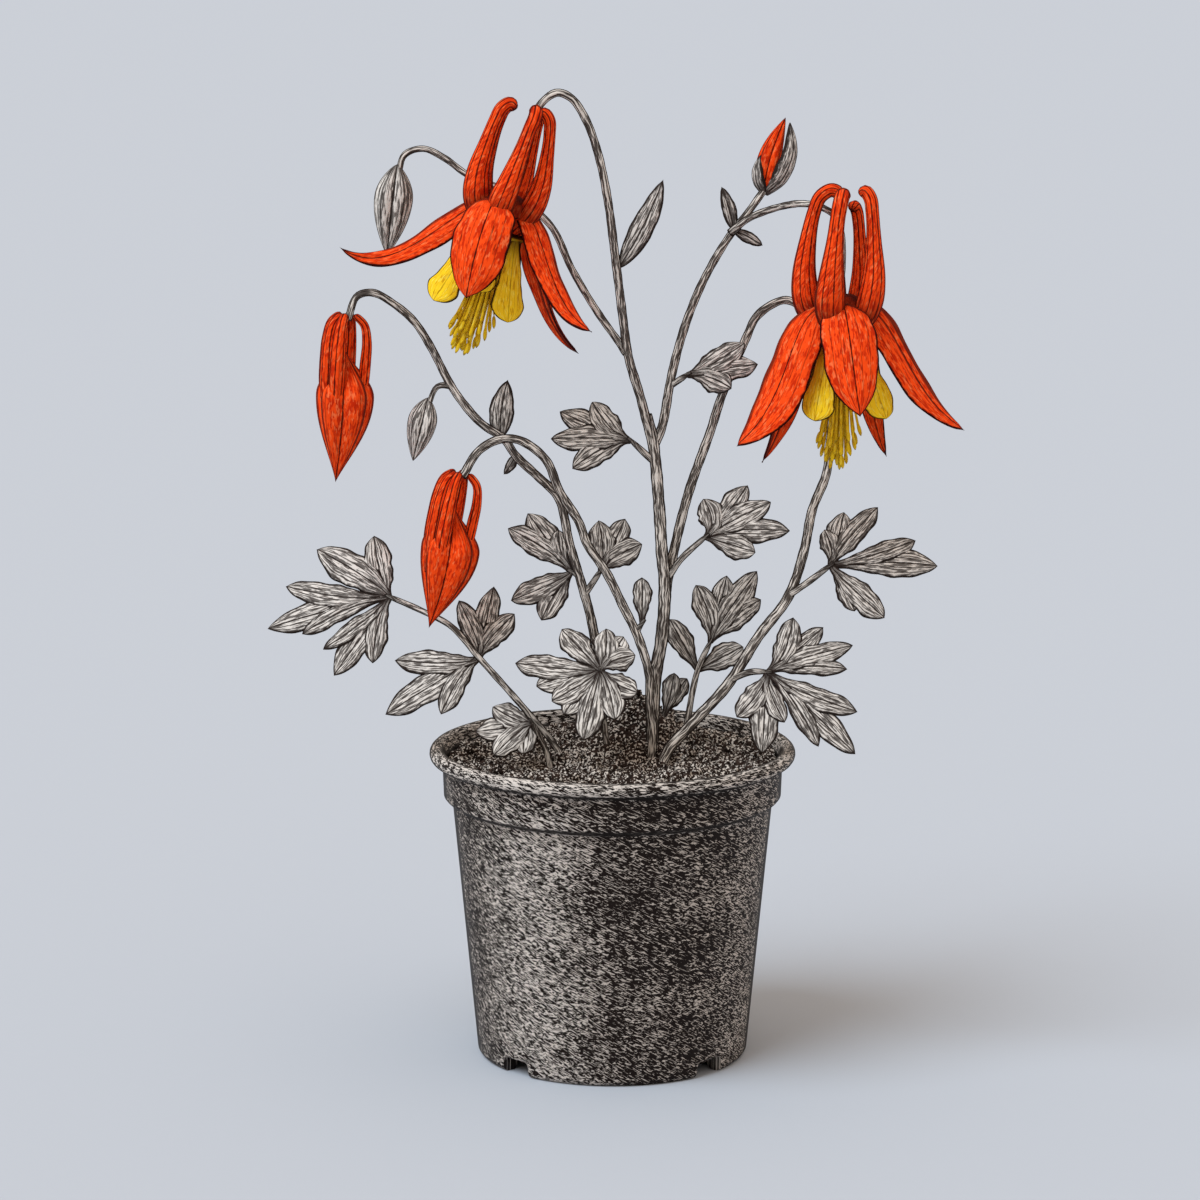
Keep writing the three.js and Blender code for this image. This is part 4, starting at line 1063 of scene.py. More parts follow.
def make_piece(name: str, patches: Sequence[Patch], finish: Finish, node: str) -> None:
    """Puts patches into the scene as one piece of a node.

    Args:
        name: the piece's name.
        patches: its surfaces in millimetres.
        finish: its finish.
        node: the node that it stands for.
    """
    patch = Patch.join(patches)
    mesh = bpy.data.meshes.new(name)
    mesh.vertices.add(len(patch.points))
    mesh.vertices.foreach_set("co", (patch.points * MM).astype(np.float32).ravel())
    real = patch.faces >= 0
    sizes = real.sum(axis=1)
    mesh.loops.add(int(sizes.sum()))
    mesh.loops.foreach_set("vertex_index", patch.faces[real].astype(np.int32))
    mesh.polygons.add(len(sizes))
    mesh.polygons.foreach_set("loop_start", np.concatenate([[0], np.cumsum(sizes)[:-1]]).astype(np.int32))
    mesh.polygons.foreach_set("use_smooth", np.ones(len(sizes), bool))
    traits = patch.traits[real].astype(np.float32)
    for title, first in (("grain", Trait.ACROSS), ("lines", Trait.RIM), ("axis", Trait.AXIS_X)):
        attribute = mesh.attributes.new(title, "FLOAT_VECTOR", "CORNER")
        columns = traits[:, first.value:first.value + 3]
        attribute.data.foreach_set("vector", np.ascontiguousarray(columns).ravel())
    shade = mesh.attributes.new("shade", "FLOAT", "CORNER")
    shade.data.foreach_set("value", np.ascontiguousarray(traits[:, Trait.SHADE.value]))
    mesh.update(calc_edges=True)
    mesh.materials.append(finish.material())
    made = bpy.data.objects.new(name, mesh)
    bpy.context.scene.collection.objects.link(made)
    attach(made, "root")
    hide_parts(node)
    LOG.info("%s: %d points, %d faces", name, len(patch.points), len(patch.faces))


# ---------------------------------------------- pot and soil


@dataclass
class Pot:
    """The nursery pot: a tapered wall with a collar and a rolled rim, and notches in its bottom edge."""

    height: float = field(default_factory=lambda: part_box("pot")[1].z / MM)
    rim_radius: float = field(default_factory=lambda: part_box("pot")[1].x / MM)
    wall: float = 1.4
    base_radius: float = 44.3
    shoulder_radius: float = 52.4
    shoulder_z: float = 85.0
    collar_radius: float = 55.2
    collar_top_z: float = 98.0
    roll_radius: float = 2.5
    foot_height: float = 2.0
    foot_width: float = 3.0
    pad_radius: float = 12.0
    floor: float = 1.6
    chamfer: float = 1.2
    notch_angles: tuple[float, ...] = (45.0, 135.0, 225.0, 315.0)
    notch_width: float = 11.0
    notch_height: float = 5.5
    notch_round: float = 1.8
    notch_from: float = 38.5
    columns: int = 300

    AXIS_GAP = 0.4  # radius at both ends of the section
    COLLAR_LEAN = 0.4  # how much wider the collar is at its top
    ROLL = (-100, 140, 22)  # start and end of the rim's arc in degrees, and its points
    CORNER = 0.5  # reach of the rounds at the corners
    STEP = 0.9  # distance between two points of the section
    NOTCH_SIDE = 0.12  # degrees that a notch's side takes
    NOTCH_CLEAR = 0.25  # degrees beside it without an even column
    GRAIN_RADIUS = 52.0  # radius that the finish's scuffs are measured on

    def inner_wall(self) -> list[tuple[float, float]]:
        """The inside of the wall.

        Returns:
            Radius and height of its stops, from the floor to the top of the collar.
        """
        floor_top = self.foot_height + self.floor
        slope = (self.shoulder_radius - self.base_radius) / self.shoulder_z
        return [
            (self.base_radius + slope * floor_top - self.wall, floor_top),
            (self.shoulder_radius - self.wall, self.shoulder_z - self.wall),
            (self.collar_radius - self.wall, self.shoulder_z + self.wall / 2),
            (self.collar_radius - self.wall + self.COLLAR_LEAN, self.collar_top_z),
        ]

    def profile(self) -> Array:
        """The pot's section: straight runs and the rim's arc. Each corner is rounded as the Bezier curve from
        a point before it, by the corner, to one after it.

        Returns:
            Rows of radius and height, from under the floor round the rim to the floor's top.
        """
        foot_inside = self.base_radius - self.chamfer - self.foot_width
        slope = (self.shoulder_radius - self.base_radius) / self.shoulder_z
        outside = [
            (self.AXIS_GAP, 0.0), (self.pad_radius, 0.0),
            (self.pad_radius + self.foot_height / 2, self.foot_height),
            (foot_inside - self.foot_height / 2, self.foot_height), (foot_inside, 0.0),
            (self.base_radius - self.chamfer, 0.0), (self.base_radius + slope * self.chamfer, self.chamfer),
            (self.shoulder_radius, self.shoulder_z), (self.collar_radius, self.shoulder_z + self.wall),
            (self.collar_radius + self.COLLAR_LEAN, self.collar_top_z - self.COLLAR_LEAN),
        ]
        angle = np.radians(np.linspace(*self.ROLL))
        roll = np.stack([
            self.rim_radius - self.roll_radius + self.roll_radius * np.cos(angle),
            self.height - self.roll_radius + self.roll_radius * np.sin(angle),
        ], axis=1)
        inside = [*self.inner_wall()[::-1], (self.AXIS_GAP, self.foot_height + self.floor)]
        corners = np.vstack([outside, roll, inside])
        before, at, after = corners[:-2], corners[1:-1], corners[2:]
        back, on = at - before, after - at
        shorter = np.minimum(np.linalg.norm(back, axis=1), np.linalg.norm(on, axis=1))
        cut = np.minimum(self.CORNER, 0.45 * shorter)[:, None]
        start, end = at - unit(back) * cut, at + unit(on) * cut
        t = np.linspace(0, 1, 5)[None, :, None]
        arcs = (1 - t) ** 2 * start[:, None] + 2 * t * (1 - t) * at[:, None] + t**2 * end[:, None]
        return evenly(np.vstack([corners[:1], arcs.reshape(-1, 2), corners[-1:]]), self.STEP)[0]

    def _angles(self) -> Array:
        """Angles of the wall's columns.

        Returns:
            Even ones, with two at each side of each notch, in radians.
        """
        half = math.degrees(math.asin(self.notch_width / 2 / self.base_radius))
        one = np.array([-half - self.NOTCH_SIDE, -half, half, half + self.NOTCH_SIDE])
        sides = one[None] + np.array(self.notch_angles)[:, None]
        even = np.arange(self.columns) * 360.0 / self.columns
        clear = np.all(np.abs(even[:, None] - sides.ravel()[None]) > self.NOTCH_CLEAR, axis=1)
        return np.radians(np.sort(np.concatenate([even[clear], sides.ravel()])))

    def _notch_top(self, angle: Array) -> Array:
        """Height of the notches' arch: flat, with quarter rounds down to its upright sides.

        Args:
            angle: angles in radians.

        Returns:
            The height at each angle, 0 beside the notches.
        """
        off = np.min(np.abs(turn_between(angle[:, None], np.radians(self.notch_angles)[None])), axis=1)
        across = self.base_radius * np.sin(np.minimum(off, np.pi / 2))
        into = np.clip(across - (self.notch_width / 2 - self.notch_round), 0, self.notch_round)
        arch = self.notch_height - self.notch_round + np.sqrt(self.notch_round**2 - into**2)
        return np.where(across <= self.notch_width / 2 + 1e-6, arch, 0.0)

    def build(self) -> None:
        """Turns the section round the axis and lifts what lies over a notch to the notch's arch.

        A point of the underside or wall beyond the notch's inner end moves up to the arch where it lies
        lower, and the floor above it keeps its distance from the arch.
        """
        section = self.profile()
        angle = self._angles()
        arch = self._notch_top(angle)
        radius, height = section[:, :1], section[:, 1:]
        along = run_along(section)
        inside = (along > along[np.argmax(section[:, 1])])[:, None]
        reaches = smooth(self.notch_from - 0.6, self.notch_from + 0.1, radius)
        lift = np.where(inside, arch[None] + self.floor * (arch[None] > 0), arch[None]) * reaches
        z = np.maximum(height, lift)
        loops = np.stack([radius * np.cos(angle), radius * np.sin(angle), z], axis=-1)
        around = np.concatenate([angle, [2 * np.pi]])
        across = around[None] * self.GRAIN_RADIUS
        traits = corner_traits((len(section), len(around)), across=across, along=along[:, None])
        ends = np.array([0.0, 0.0, section[0, 1]]), np.array([0.0, 0.0, section[-1, 1]])
        finish = PotFinish(rim_z=self.collar_top_z, collar_z=self.shoulder_z)
        make_piece("pot_shell", [skin(loops, traits, *ends)], finish, "pot")


@dataclass
class Soil:
    """Potting soil: a mound round the stems with crumbs on it, filling the pot's inside."""

    pot: Pot
    gap: float = 0.3
    edge_z: float = 98.5
    mound_height: float = 18.0
    mound: tuple[float, float] = (6.0, 16.0)
    mound_spread: float = 17.0
    lump: float = 0.9
    rings: int = 110
    sides: int = 300
    crumbs: int = 900
    seed: int = 11

    EDGE_GAPS = 2.2  # gaps between the top's last ring and the wall
    RINGS_FROM = 0.012  # share of the radius at the first ring
    RINGS_POWER = 0.8
    CALM = 4.0  # width beside the wall where crumbs die out
    EDGE_CUT = 6.0  # how much of the lower edge is cut away, up and in
    LAYERS = ((3.2, 0.75, 1), (1.7, 0.5, 2), (0.9, 0.3, 3))  # cell, height and seed of the noise
    CRUMB_SIZE = (0.55, 1.5)  # a loose crumb's least radius, and what the largest has more
    CRUMB_BUMP = 0.22
    CRUMB_STRETCH = (0.65, 1.15)
    CRUMB_LATITUDES = (-54.0, -18.0, 18.0, 54.0)
    CRUMB_SIDES = 7

    def height(self, x: Array, y: Array) -> Array:
        """Height of the soil: a bell-shaped mound with slow sine lumps.

        Args:
            x, y: places.

        Returns:
            The height at each place.
        """
        reach = np.hypot(x - self.mound[0], y - self.mound[1])
        slow = np.sin(0.55 * x + 0.9) * np.cos(0.47 * y - 0.4) + 0.6 * np.sin(0.31 * x - 0.52 * y + 2)
        return self.edge_z + self.mound_height * bell(reach, self.mound_spread) + self.lump * slow

    def _fine(self, x: Array, y: Array) -> Array:
        """Height of the small crumbs: three sizes of lattice noise, each lower than the one before."""
        return sum(high * lattice_noise(x, y, cell, self.seed + n) for cell, high, n in self.LAYERS)

    def _bulk(self) -> Patch:
        """The whole body.

        Returns:
            Rings of the top from the axis to the wall, then the wall's rings down to the floor, as one skin.
        """
        angle = np.linspace(0, 2 * np.pi, self.sides + 1)
        inner = np.array(self.pot.inner_wall())
        edge = inner[-1, 0] - self.EDGE_GAPS * self.gap
        radius = edge * np.linspace(self.RINGS_FROM, 1.0, self.rings) ** self.RINGS_POWER
        ring = np.stack([np.cos(angle[:-1]), np.sin(angle[:-1])], axis=-1)
        x, y = radius[:, None] * ring[:, 0], radius[:, None] * ring[:, 1]
        calm = smooth(edge, edge - self.CALM, radius)[:, None]
        top = np.stack([x, y, self.height(x, y) + calm * self._fine(x, y)], axis=-1)
        wall = inner[::-1][1:] + [[-self.gap, 0.0]]
        out, low = wall[-1]
        wall = np.vstack([wall[:-1], [out, low + self.EDGE_CUT], [out - self.EDGE_CUT, low + self.gap]])
        level = np.broadcast_to(wall[:, 1, None, None], (len(wall), self.sides, 1))
        sides = np.concatenate([wall[:, 0, None, None] * ring[None], level], axis=-1)
        loops = np.concatenate([top, sides])
        first = np.array([0.0, 0.0, float(self.height(np.zeros(1), np.zeros(1))[0])])
        last = np.array([0.0, 0.0, wall[-1, 1]])
        return skin(loops, corner_traits((len(loops), self.sides + 1)), first, last)

    def _crumbs(self) -> Patch:
        """Loose crumbs: one small ball of a few faces, stretched, turned and placed by seeded draws.

        Returns:
            All of them as one patch.
        """
        rng = np.random.default_rng(self.seed)
        spread = (self.pot.inner_wall()[-1][0] - self.CALM) * np.sqrt(rng.uniform(0, 1, self.crumbs))
        round_axis = rng.uniform(0, 2 * np.pi, self.crumbs)
        x, y = spread * np.cos(round_axis), spread * np.sin(round_axis)
        size = self.CRUMB_SIZE[0] + self.CRUMB_SIZE[1] * rng.uniform(0, 1, self.crumbs) ** 3
        centre = np.stack([x, y, self.height(x, y) + self._fine(x, y) + 0.25 * size], axis=-1)
        latitude = np.radians(self.CRUMB_LATITUDES)[:, None]
        longitude = np.arange(self.CRUMB_SIDES)[None] * 2 * np.pi / self.CRUMB_SIDES
        ball = np.stack(np.broadcast_arrays(
            np.cos(latitude) * np.cos(longitude), np.cos(latitude) * np.sin(longitude), np.sin(latitude),
        ), axis=-1)
        one = skin(ball, corner_traits((len(latitude), self.CRUMB_SIDES + 1)), -Z_AXIS, Z_AXIS)
        bumps = 1 + self.CRUMB_BUMP * rng.uniform(-1, 1, (self.crumbs, len(one.points), 1))
        stretch = size[:, None, None] * rng.uniform(*self.CRUMB_STRETCH, (self.crumbs, 1, 3))
        turn, _ = np.linalg.qr(rng.normal(size=(self.crumbs, 3, 3)))
        turn = turn * np.sign(np.linalg.det(turn))[:, None, None]
        points = centre[:, None] + np.einsum("nij,npj->npi", turn, one.points[None] * bumps * stretch)
        starts = np.arange(self.crumbs)[:, None, None] * len(one.points)
        faces = np.where(one.faces[None] < 0, -1, one.faces[None] + starts).reshape(-1, 4)
        traits = np.tile(one.traits, (self.crumbs, 1, 1))
        return Patch(points.reshape(-1, 3), faces, traits)

    def build(self) -> None:
        """Builds the soil with its crumbs as one piece."""
        make_piece("soil_with_crumbs", [self._bulk(), self._crumbs()], SoilFinish(), "soil")


# ----------------------------------------------------- stems


@dataclass(frozen=True)
class Stalk:
    """A stalk: its middle line from the foot up, and its radius at the foot and at the end."""

    route: Route
    radius: tuple[float, float]
    foot_flare: float = 0.0

    def patch(self, chance: float) -> Patch:
        """The ribbed stalk, a little uneven, thicker and darker at its foot where it forks off.

        Args:
            chance: random share for the finish.

        Returns:
            The closed bar.
        """
        path, along = evenly(smooth_curve(self.route), 1.1)
        share = along / along[-1]
        uneven = 0.03 * np.sin(0.5 * along + 9 * chance) + 0.025 * np.sin(1.3 * along + 5 * chance)
        radius = (self.radius[0] + (self.radius[1] - self.radius[0]) * share) * (1 + uneven)
        foot = bell(along, 3.0)
        dark = 0.6 * foot * (self.foot_flare > 0)
        return tube(path, along, radius * (1 + self.foot_flare * foot), chance=chance, shade=dark)


@dataclass(frozen=True)
class Bract:
    """A small narrow leaf at a fork: its foot, tip, width and how far its middle bows along X."""

    foot: Point
    tip: Point
    width: float
    bow: float

    def patch(self, chance: float) -> Patch:
        """The bract as a strap on a curve of three stops, widest near its middle.

        Args:
            chance: random share for the finish.

        Returns:
            The closed blade.
        """
        a, b = np.array(self.foot, float), np.array(self.tip, float)
        stops = np.array([a, (a + b) / 2 + [self.bow, -1, 0], b])

        def half_width(t: Array) -> Array:
            """Half the width: 3.2 times a power of the share run and one of the share left, at most one."""
            return self.width * 0.5 * np.minimum(1, 3.2 * t**0.75 * (1 - t) ** 0.95) + 0.3 * smooth(1, 0.9, t)

        cut, facing = Cut(cup=0.25, groove=0.3, wave=0.15), np.array([0, -1, 0.3])
        return strap(lambda t: bezier(stops, t), half_width, facing, cut, 36, 13, chance)


@dataclass(frozen=True)
class TopSepal:
    """A green sepal under the top bud: its middle line, the way that it faces, and its width."""

    route: Route
    facing: Point
    width: float

    def patch(self, chance: float) -> Patch:
        """The sepal as a cupped strap along its middle line, its width a sine of the run.

        Args:
            chance: random share for the finish.

        Returns:
            The closed blade.
        """
        points, along = evenly(smooth_curve(self.route), 0.4)
        share = along / along[-1]

        def line(t: Array) -> Array:
            """The point at a share of the line's length."""
            return np.stack([np.interp(t, share, column) for column in points.T], axis=1)

        def half_width(t: Array) -> Array:
            """Half the width: the sine of most of a half turn."""
            return self.width * 0.5 * np.sin(np.pi * (0.18 + 0.79 * t)) + 0.2

        cut = Cut(cup=0.45, groove=0.2, wave=0.1)
        return strap(line, half_width, np.array(self.facing), cut, 36, 13, chance)


@dataclass(frozen=True)
class Stem:
    """A stem with all that grows on it as one body: stalks, bracts and the top bud's sepals."""

    node: str
    stalks: tuple[Stalk, ...]
    bracts: tuple[Bract, ...] = ()
    sepals: tuple[TopSepal, ...] = ()

    def build(self, seed: int) -> None:
        """Builds the stalks as one piece and the small leaves on them as another.

        Args:
            seed: seed of the random shares.
        """
        rng = np.random.default_rng(seed)
        stalks = [stalk.patch(rng.uniform()) for stalk in self.stalks]
        make_piece(f"{self.node}_stalks", stalks, STEM_FINISH, self.node)
        blades = [blade.patch(rng.uniform()) for blade in (*self.bracts, *self.sepals)]
        if blades:
            make_piece(f"{self.node}_bracts", blades, LEAF_FINISH, self.node)


STEMS = (
    Stem("stem_main", (
        Stalk([(13, 0, 86), (13, 0, 102), (14, 0, 126), (16, 0, 138), (17, 1, 155), (16, 2, 167),
               (15, 3, 183), (13, 4, 203), (11, 3, 211)], (2.35, 1.9)),
        Stalk([(13, 4, 201), (9, 1, 217), (5, -3, 231), (3.2, -6, 244), (1.2, -9, 260), (-1.8, -13, 283),
               (-4.8, -15, 297), (-8.6, -17, 307.5), (-13, -18, 314), (-17.5, -19, 315.8), (-22, -20, 313),
               (-25.5, -20, 307), (-28.5, -20, 299), (-33.5, -20, 283)], (1.6, 1.2)),
        Stalk([(4.6, -3.5, 232), (-5, 0, 245), (-13, 4, 258), (-20, 7, 272), (-33, 10, 282), (-47, 12, 288),
               (-54, 13, 293), (-61, 14, 296), (-67, 14, 294),
               (-69, 14, 288)], (1.25, 1.05), foot_flare=0.25),
        Stalk([(13, 4, 200), (16, 5, 207), (19, 7, 223), (23, 9, 238), (29, 11, 253), (37, 12, 267),
               (44, 13, 276), (49, 14, 283)], (1.6, 1.2)),
        Stalk([(38, 12, 269), (43, 10, 273.5), (49, 7, 276.5), (56, 1, 279), (61, -6, 280),
               (66, -14, 279.5), (70, -18.5, 277), (72, -20, 271),
               (72, -20, 252)], (1.2, 1.05), foot_flare=0.25),
        Stalk([(17, 1.5, 152), (20, 6, 166), (25, 11, 185), (32, 16, 204), (36, 19, 216), (44, 25, 234),
               (47, 27, 240), (52, 28, 244), (57, 29, 245.5), (62, 29, 243),
               (64, 29, 237)], (1.7, 1.35), foot_flare=0.15),
    ), bracts=(
        Bract((2, -9, 260), (16, -9, 288), width=7, bow=2),
        Bract((39, 12, 270), (35, 12, 284), width=4.2, bow=1),
        Bract((39, 12, 270), (48.5, 12, 265), width=3.4, bow=1),
    ), sepals=(
        TopSepal([(49, 14, 281.5), (54.8, 11, 287), (57.8, 10.5, 296),
                  (57, 13, 304.5)], (0.55, -0.83, 0), 6.6),
        TopSepal([(48.5, 14, 281.5), (46.3, 11.5, 286), (46.3, 11, 290.5),
                  (47.6, 12.5, 294)], (-0.6, -0.8, 0), 4.5),
    )),
    Stem("stem_right", (
        Stalk([(11, -14, 88), (18, -10.5, 103), (26, -9, 112), (37, -8, 124), (47.5, -5, 140),
               (57, -1, 152), (62.3, 5, 166), (65.2, 10, 179), (70, 16, 190), (72, 22, 204), (75, 26, 216),
               (79, 28, 223), (83, 29, 224.5), (85.5, 30, 219)], (1.95, 1.35)),
    )),
    Stem("stem_left_inner", (
        Stalk([(12, -5.5, 90), (13, -7.5, 108), (12, -8, 119), (12, -7, 127), (8.2, -6, 140),
               (3.4, -6, 150), (-2, -6, 161), (-8, -6, 170), (-11, -7, 178), (-17, -9, 188),
               (-21, -11, 198), (-26, -12, 203), (-31, -13, 205.5), (-37, -15, 205.5), (-43, -17, 202),
               (-48, -18, 194)], (1.6, 1.4)),
    )),
    Stem("stem_left_outer", (
        Stalk([(1, 11, 90), (-2, 10, 114), (-4, 8, 126), (-7, 4, 144), (-9.8, 2, 155), (-13.8, 0, 169),
               (-17.6, -2, 185), (-24, -4, 192), (-31, -6, 199), (-35, -8, 205), (-42, -9, 210),
               (-48, -10, 217), (-52, -10, 223), (-58, -11, 235), (-63, -12, 243), (-69, -13, 248.5),
               (-76, -14, 252.5), (-81, -15, 251.5), (-84, -16, 244)], (1.75, 1.2)),
        Stalk([(-51.5, -10, 222.5), (-56, -10, 222), (-59, -10, 216)], (0.95, 0.9), foot_flare=0.3),
    ), bracts=(
        Bract((-36, -8, 205), (-33.5, -8, 224), width=7.5, bow=-1.5),
        Bract((-31, -6, 199.5), (-35, -6, 193), width=2.8, bow=0.5),
    )),
)


# ---------------------------------------------------- leaves


@dataclass(frozen=True)
class Leaflet:
    """A leaflet that fans out from its joint, which is one of the stops of the leaf's petiole.

    Each lobe is its heading in degrees from +X towards +Z, its length, and its width where that isn't the
    leaflet's. The lobes part at the fork, a share of the way along the leaflet.
    """

    lobes: tuple[tuple[float, ...], ...]
    stop: int = -1
    fork: float = 0.38
    width: float = 8.8
    droop: float = 0.004
    step_back: float = 0.35

    CUT = Cut(thickness=0.8, cup=0.12, groove=0.35, wave=0.35, jag=0.07, veins=3.0, base=5.5)
    RISE = 1.35
    FALL = 0.6

    def patches(self, joint: Point, lean: float, rng: np.random.Generator) -> list[Patch]:
        """The lobes as pointed straps that share their foot.

        A lobe's middle line is the Bezier curve from the joint by the fork to its tip, in a plane that
        leans back. The plane droops with the square of the distance from the joint. Every second lobe lies
        a little further back, so that its neighbours overlap it. Half of its width is a power of the share
        run, times one of the share left, and a little at its foot.

        Args:
            joint: where the lobes meet.
            lean: how far the leaf's plane leans back from the upright, in degrees.
            rng: source of the random shares.

        Returns:
            One closed blade for each lobe.
        """
        tilt = math.radians(lean)
        up = np.array([0, math.sin(tilt), math.cos(tilt)])
        facing = np.array([0, -math.cos(tilt), math.sin(tilt)])
        heading = np.radians([lobe[0] for lobe in self.lobes])
        length = np.array([lobe[1] for lobe in self.lobes])
        tips = np.stack([length * np.cos(heading), length * np.sin(heading)], axis=1)
        fork = self.fork * tips.mean(axis=0)
        widest = self.RISE / (self.RISE + self.FALL)
        made = []
        for k, tip in enumerate(tips):
            stops = np.array([(0.0, 0.0), fork, tip])
            back = self.step_back * (k % 2)
            width = self.lobes[k][2] if len(self.lobes[k]) > 2 else self.width

            def line(t: Array) -> Array:
                """The middle line in space."""
                a, b = bezier(stops, t).T
                lift = -self.droop * (a**2 + b**2) - back
                return np.array(joint) + a[:, None] * X_AXIS + b[:, None] * up + lift[:, None] * facing

            def half_width(t: Array) -> Array:
                """Half of the lobe's width."""
                shape = (t / widest) ** self.RISE * ((1 - t) / (1 - widest)) ** self.FALL
                return width / 2 * shape + 0.9 * bell(t, 0.16)

            made.append(strap(line, half_width, facing, self.CUT, 44, 15, rng.uniform()))
        return made


@dataclass(frozen=True)
class Leaf:
    """A leaf: leaflets in one leaning plane, and the petiole that carries them."""

    node: str
    lean: float
    petiole: Route
    leaflets: tuple[Leaflet, ...]
    petiole_radius: tuple[float, float] = (1.2, 0.95)
    past: float = 1.6

    def _bar(self, chance: float) -> Patch:
        """The petiole as a ribbed bar that narrows towards its joint and runs a little past it.

        Args:
            chance: random share for the finish.

        Returns:
            The closed bar.
        """
        stops = np.array(self.petiole, float)
        end = stops[-1] + self.past * unit(stops[-1] - stops[-2])
        path, along = evenly(smooth_curve(np.vstack([stops, end])), 1.1)
        share = along / along[-1]
        radius = self.petiole_radius[0] + (self.petiole_radius[1] - self.petiole_radius[0]) * share
        radius = radius * (1 + 0.04 * np.sin(0.7 * along + 9 * chance))
        left = along[-1] - along
        radius = radius * (1 - 0.4 * smooth(4.5, 0.0, left))
        return tube(path, along, radius, sides=18, chance=chance, shade=0.9 * bell(left, 5.0))

    def build(self, seed: int) -> None:
        """Builds the leaflets and the petioles as two pieces.

        Args:
            seed: seed of the random shares.
        """
        rng = np.random.default_rng(seed)
        blades = []
        for leaflet in self.leaflets:
            blades += leaflet.patches(self.petiole[leaflet.stop], self.lean, rng)
        make_piece(f"{self.node}_blades", blades, LEAF_FINISH, self.node)
        make_piece(f"{self.node}_petioles", [self._bar(rng.uniform())], STEM_FINISH, self.node)


def fan(*lobes: tuple[float, ...], **cut: float) -> Leaflet:
    """A leaflet from its lobes."""
    return Leaflet(lobes, **cut)


LEAVES = (
    Leaf("leaf_left_basal", 25, [(-14, -7, 92), (-18, -8, 103), (-31, -11, 120), (-43, -12, 134),
                                 (-52, -10, 144), (-62, -8, 149), (-72, -6, 153)], (
        fan((145, 29.5, 11.5), (105, 21.8, 9.6), fork=0.22),
        fan((172, 34.5, 8.2), (192.5, 41, 8.8), (202, 30.7, 6.2)),
        fan((218, 27.3, 5.8), (234.5, 31, 8.8), (256, 22.3, 7.4), fork=0.28),
        fan((180, 27.5, 8.4), (210, 35, 9.8), (236, 22, 7.6), fork=0.25, stop=3),
        fan((109.5, 20.8, 7.4), (80, 25, 8.2), (53, 18.8, 8.2), fork=0.25, stop=3),
    )),
    Leaf("leaf_rim", 35, [(-19, -14, 90), (-21, -14, 102), (-24, -16, 110), (-26, -18, 114)], (
        fan((155, 14), (188, 18.5), (222, 16.5), (256, 11), fork=0.25),
    )),
    Leaf("leaf_front", 30, [(-2, -1, 90), (-2, -2, 103), (-3, -9, 115), (-3.5, -16, 125), (-4, -22, 132)], (
        fan((173, 27.5), (193, 21)),
        fan((131, 19)),
        fan((83, 14.5), (57, 14), (25, 12.5)),
        fan((213, 18.5), (231, 18.5)),
        fan((257, 23.5), width=9.5),
        fan((286, 17), (329, 14)),
    )),
    Leaf("leaf_left_stem", 25, [(-10.6, 1.5, 158.5), (-13.2, 1, 160)], (
        fan((107, 15, 6.5), (125, 25.1, 9.6), (143.5, 26, 8.4)),
        fan((205, 21.8), (238, 18.7), fork=0.28),
    )),
    Leaf("leaf_left_fork", 20, [(-9.4, 2, 152), (-6.5, 2.5, 156), (-4, 2, 160)], (
        fan((92, 17), (65, 19.5), (34, 16.5), fork=0.3),
    )),
    Leaf("leaf_small_left", 15, [(7.6, -6, 141.5), (9.6, -6.5, 144.4)], (
        fan((90, 15), width=6.4),
    )),
    Leaf("leaf_right_back", 20, [(23, 6, 92), (24, 6, 103), (25, 7, 111), (28, 8, 126), (32, 9, 135)], (
        fan((103, 20), (76, 23.5), (57, 29), (41, 22.5), fork=0.3),
        fan((28, 17), width=9, stop=3),
        fan((118, 19.5), width=8, stop=3),
    )),
    Leaf("leaf_small_right", 15, [(15, 12, 92), (16, 12, 103), (17, 12, 110)], (
        fan((76, 14.5), (58, 14.5), width=6.5),
    )),
    Leaf("leaf_right_upper", 28, [(57, -1, 152.5), (63.6, -3, 157.5), (70.4, -4, 163)], (
        fan((98, 12.5, 6.8), (75, 19.4, 8.8), (52.5, 26.4, 7.8), fork=0.28),
        fan((19, 29.8, 7), (2.5, 35.3, 9.6)),
        fan((-44.5, 24.4, 9), (-63, 17, 6.8)),
    )),
    Leaf("leaf_right_lower", 28, [(38, -8, 126), (44.5, -10, 129), (50, -12, 129.5)], (
        fan((65, 20.8, 8.4), (40.5, 24.3, 7.4), (19.5, 29.7, 7.6), (4, 26.2, 6.4), fork=0.3),
        fan((-23, 31.6, 8), (-42.5, 38.3, 9), (-56, 29.2, 6.4), fork=0.34),
        fan((-72, 17.5, 7), (-94, 26.6, 9.6), (-124, 18, 8.6), fork=0.3),
    )),
    Leaf("leaf_mid_right", 25, [(17, 2, 156), (22, 0.5, 164), (30, -2, 172)], (
        fan((92, 13), (52.5, 22.8), (30, 24.8), (6, 27.7), fork=0.3),
        fan((-17, 17), width=8.5),
    )),
    Leaf("leaf_main_left", 25, [(13, 4, 196), (6, 1, 203)], (
        fan((133, 18.5), (155, 25.5), (177, 26), (205, 21), fork=0.3),
    )),
    Leaf("leaf_main_right", 25, [(18.6, 7, 220), (24, 4, 224)], (
        fan((31, 22), (11, 23.5), (-17, 15), fork=0.3),
    )),
)


# --------------------------------------------------- flowers


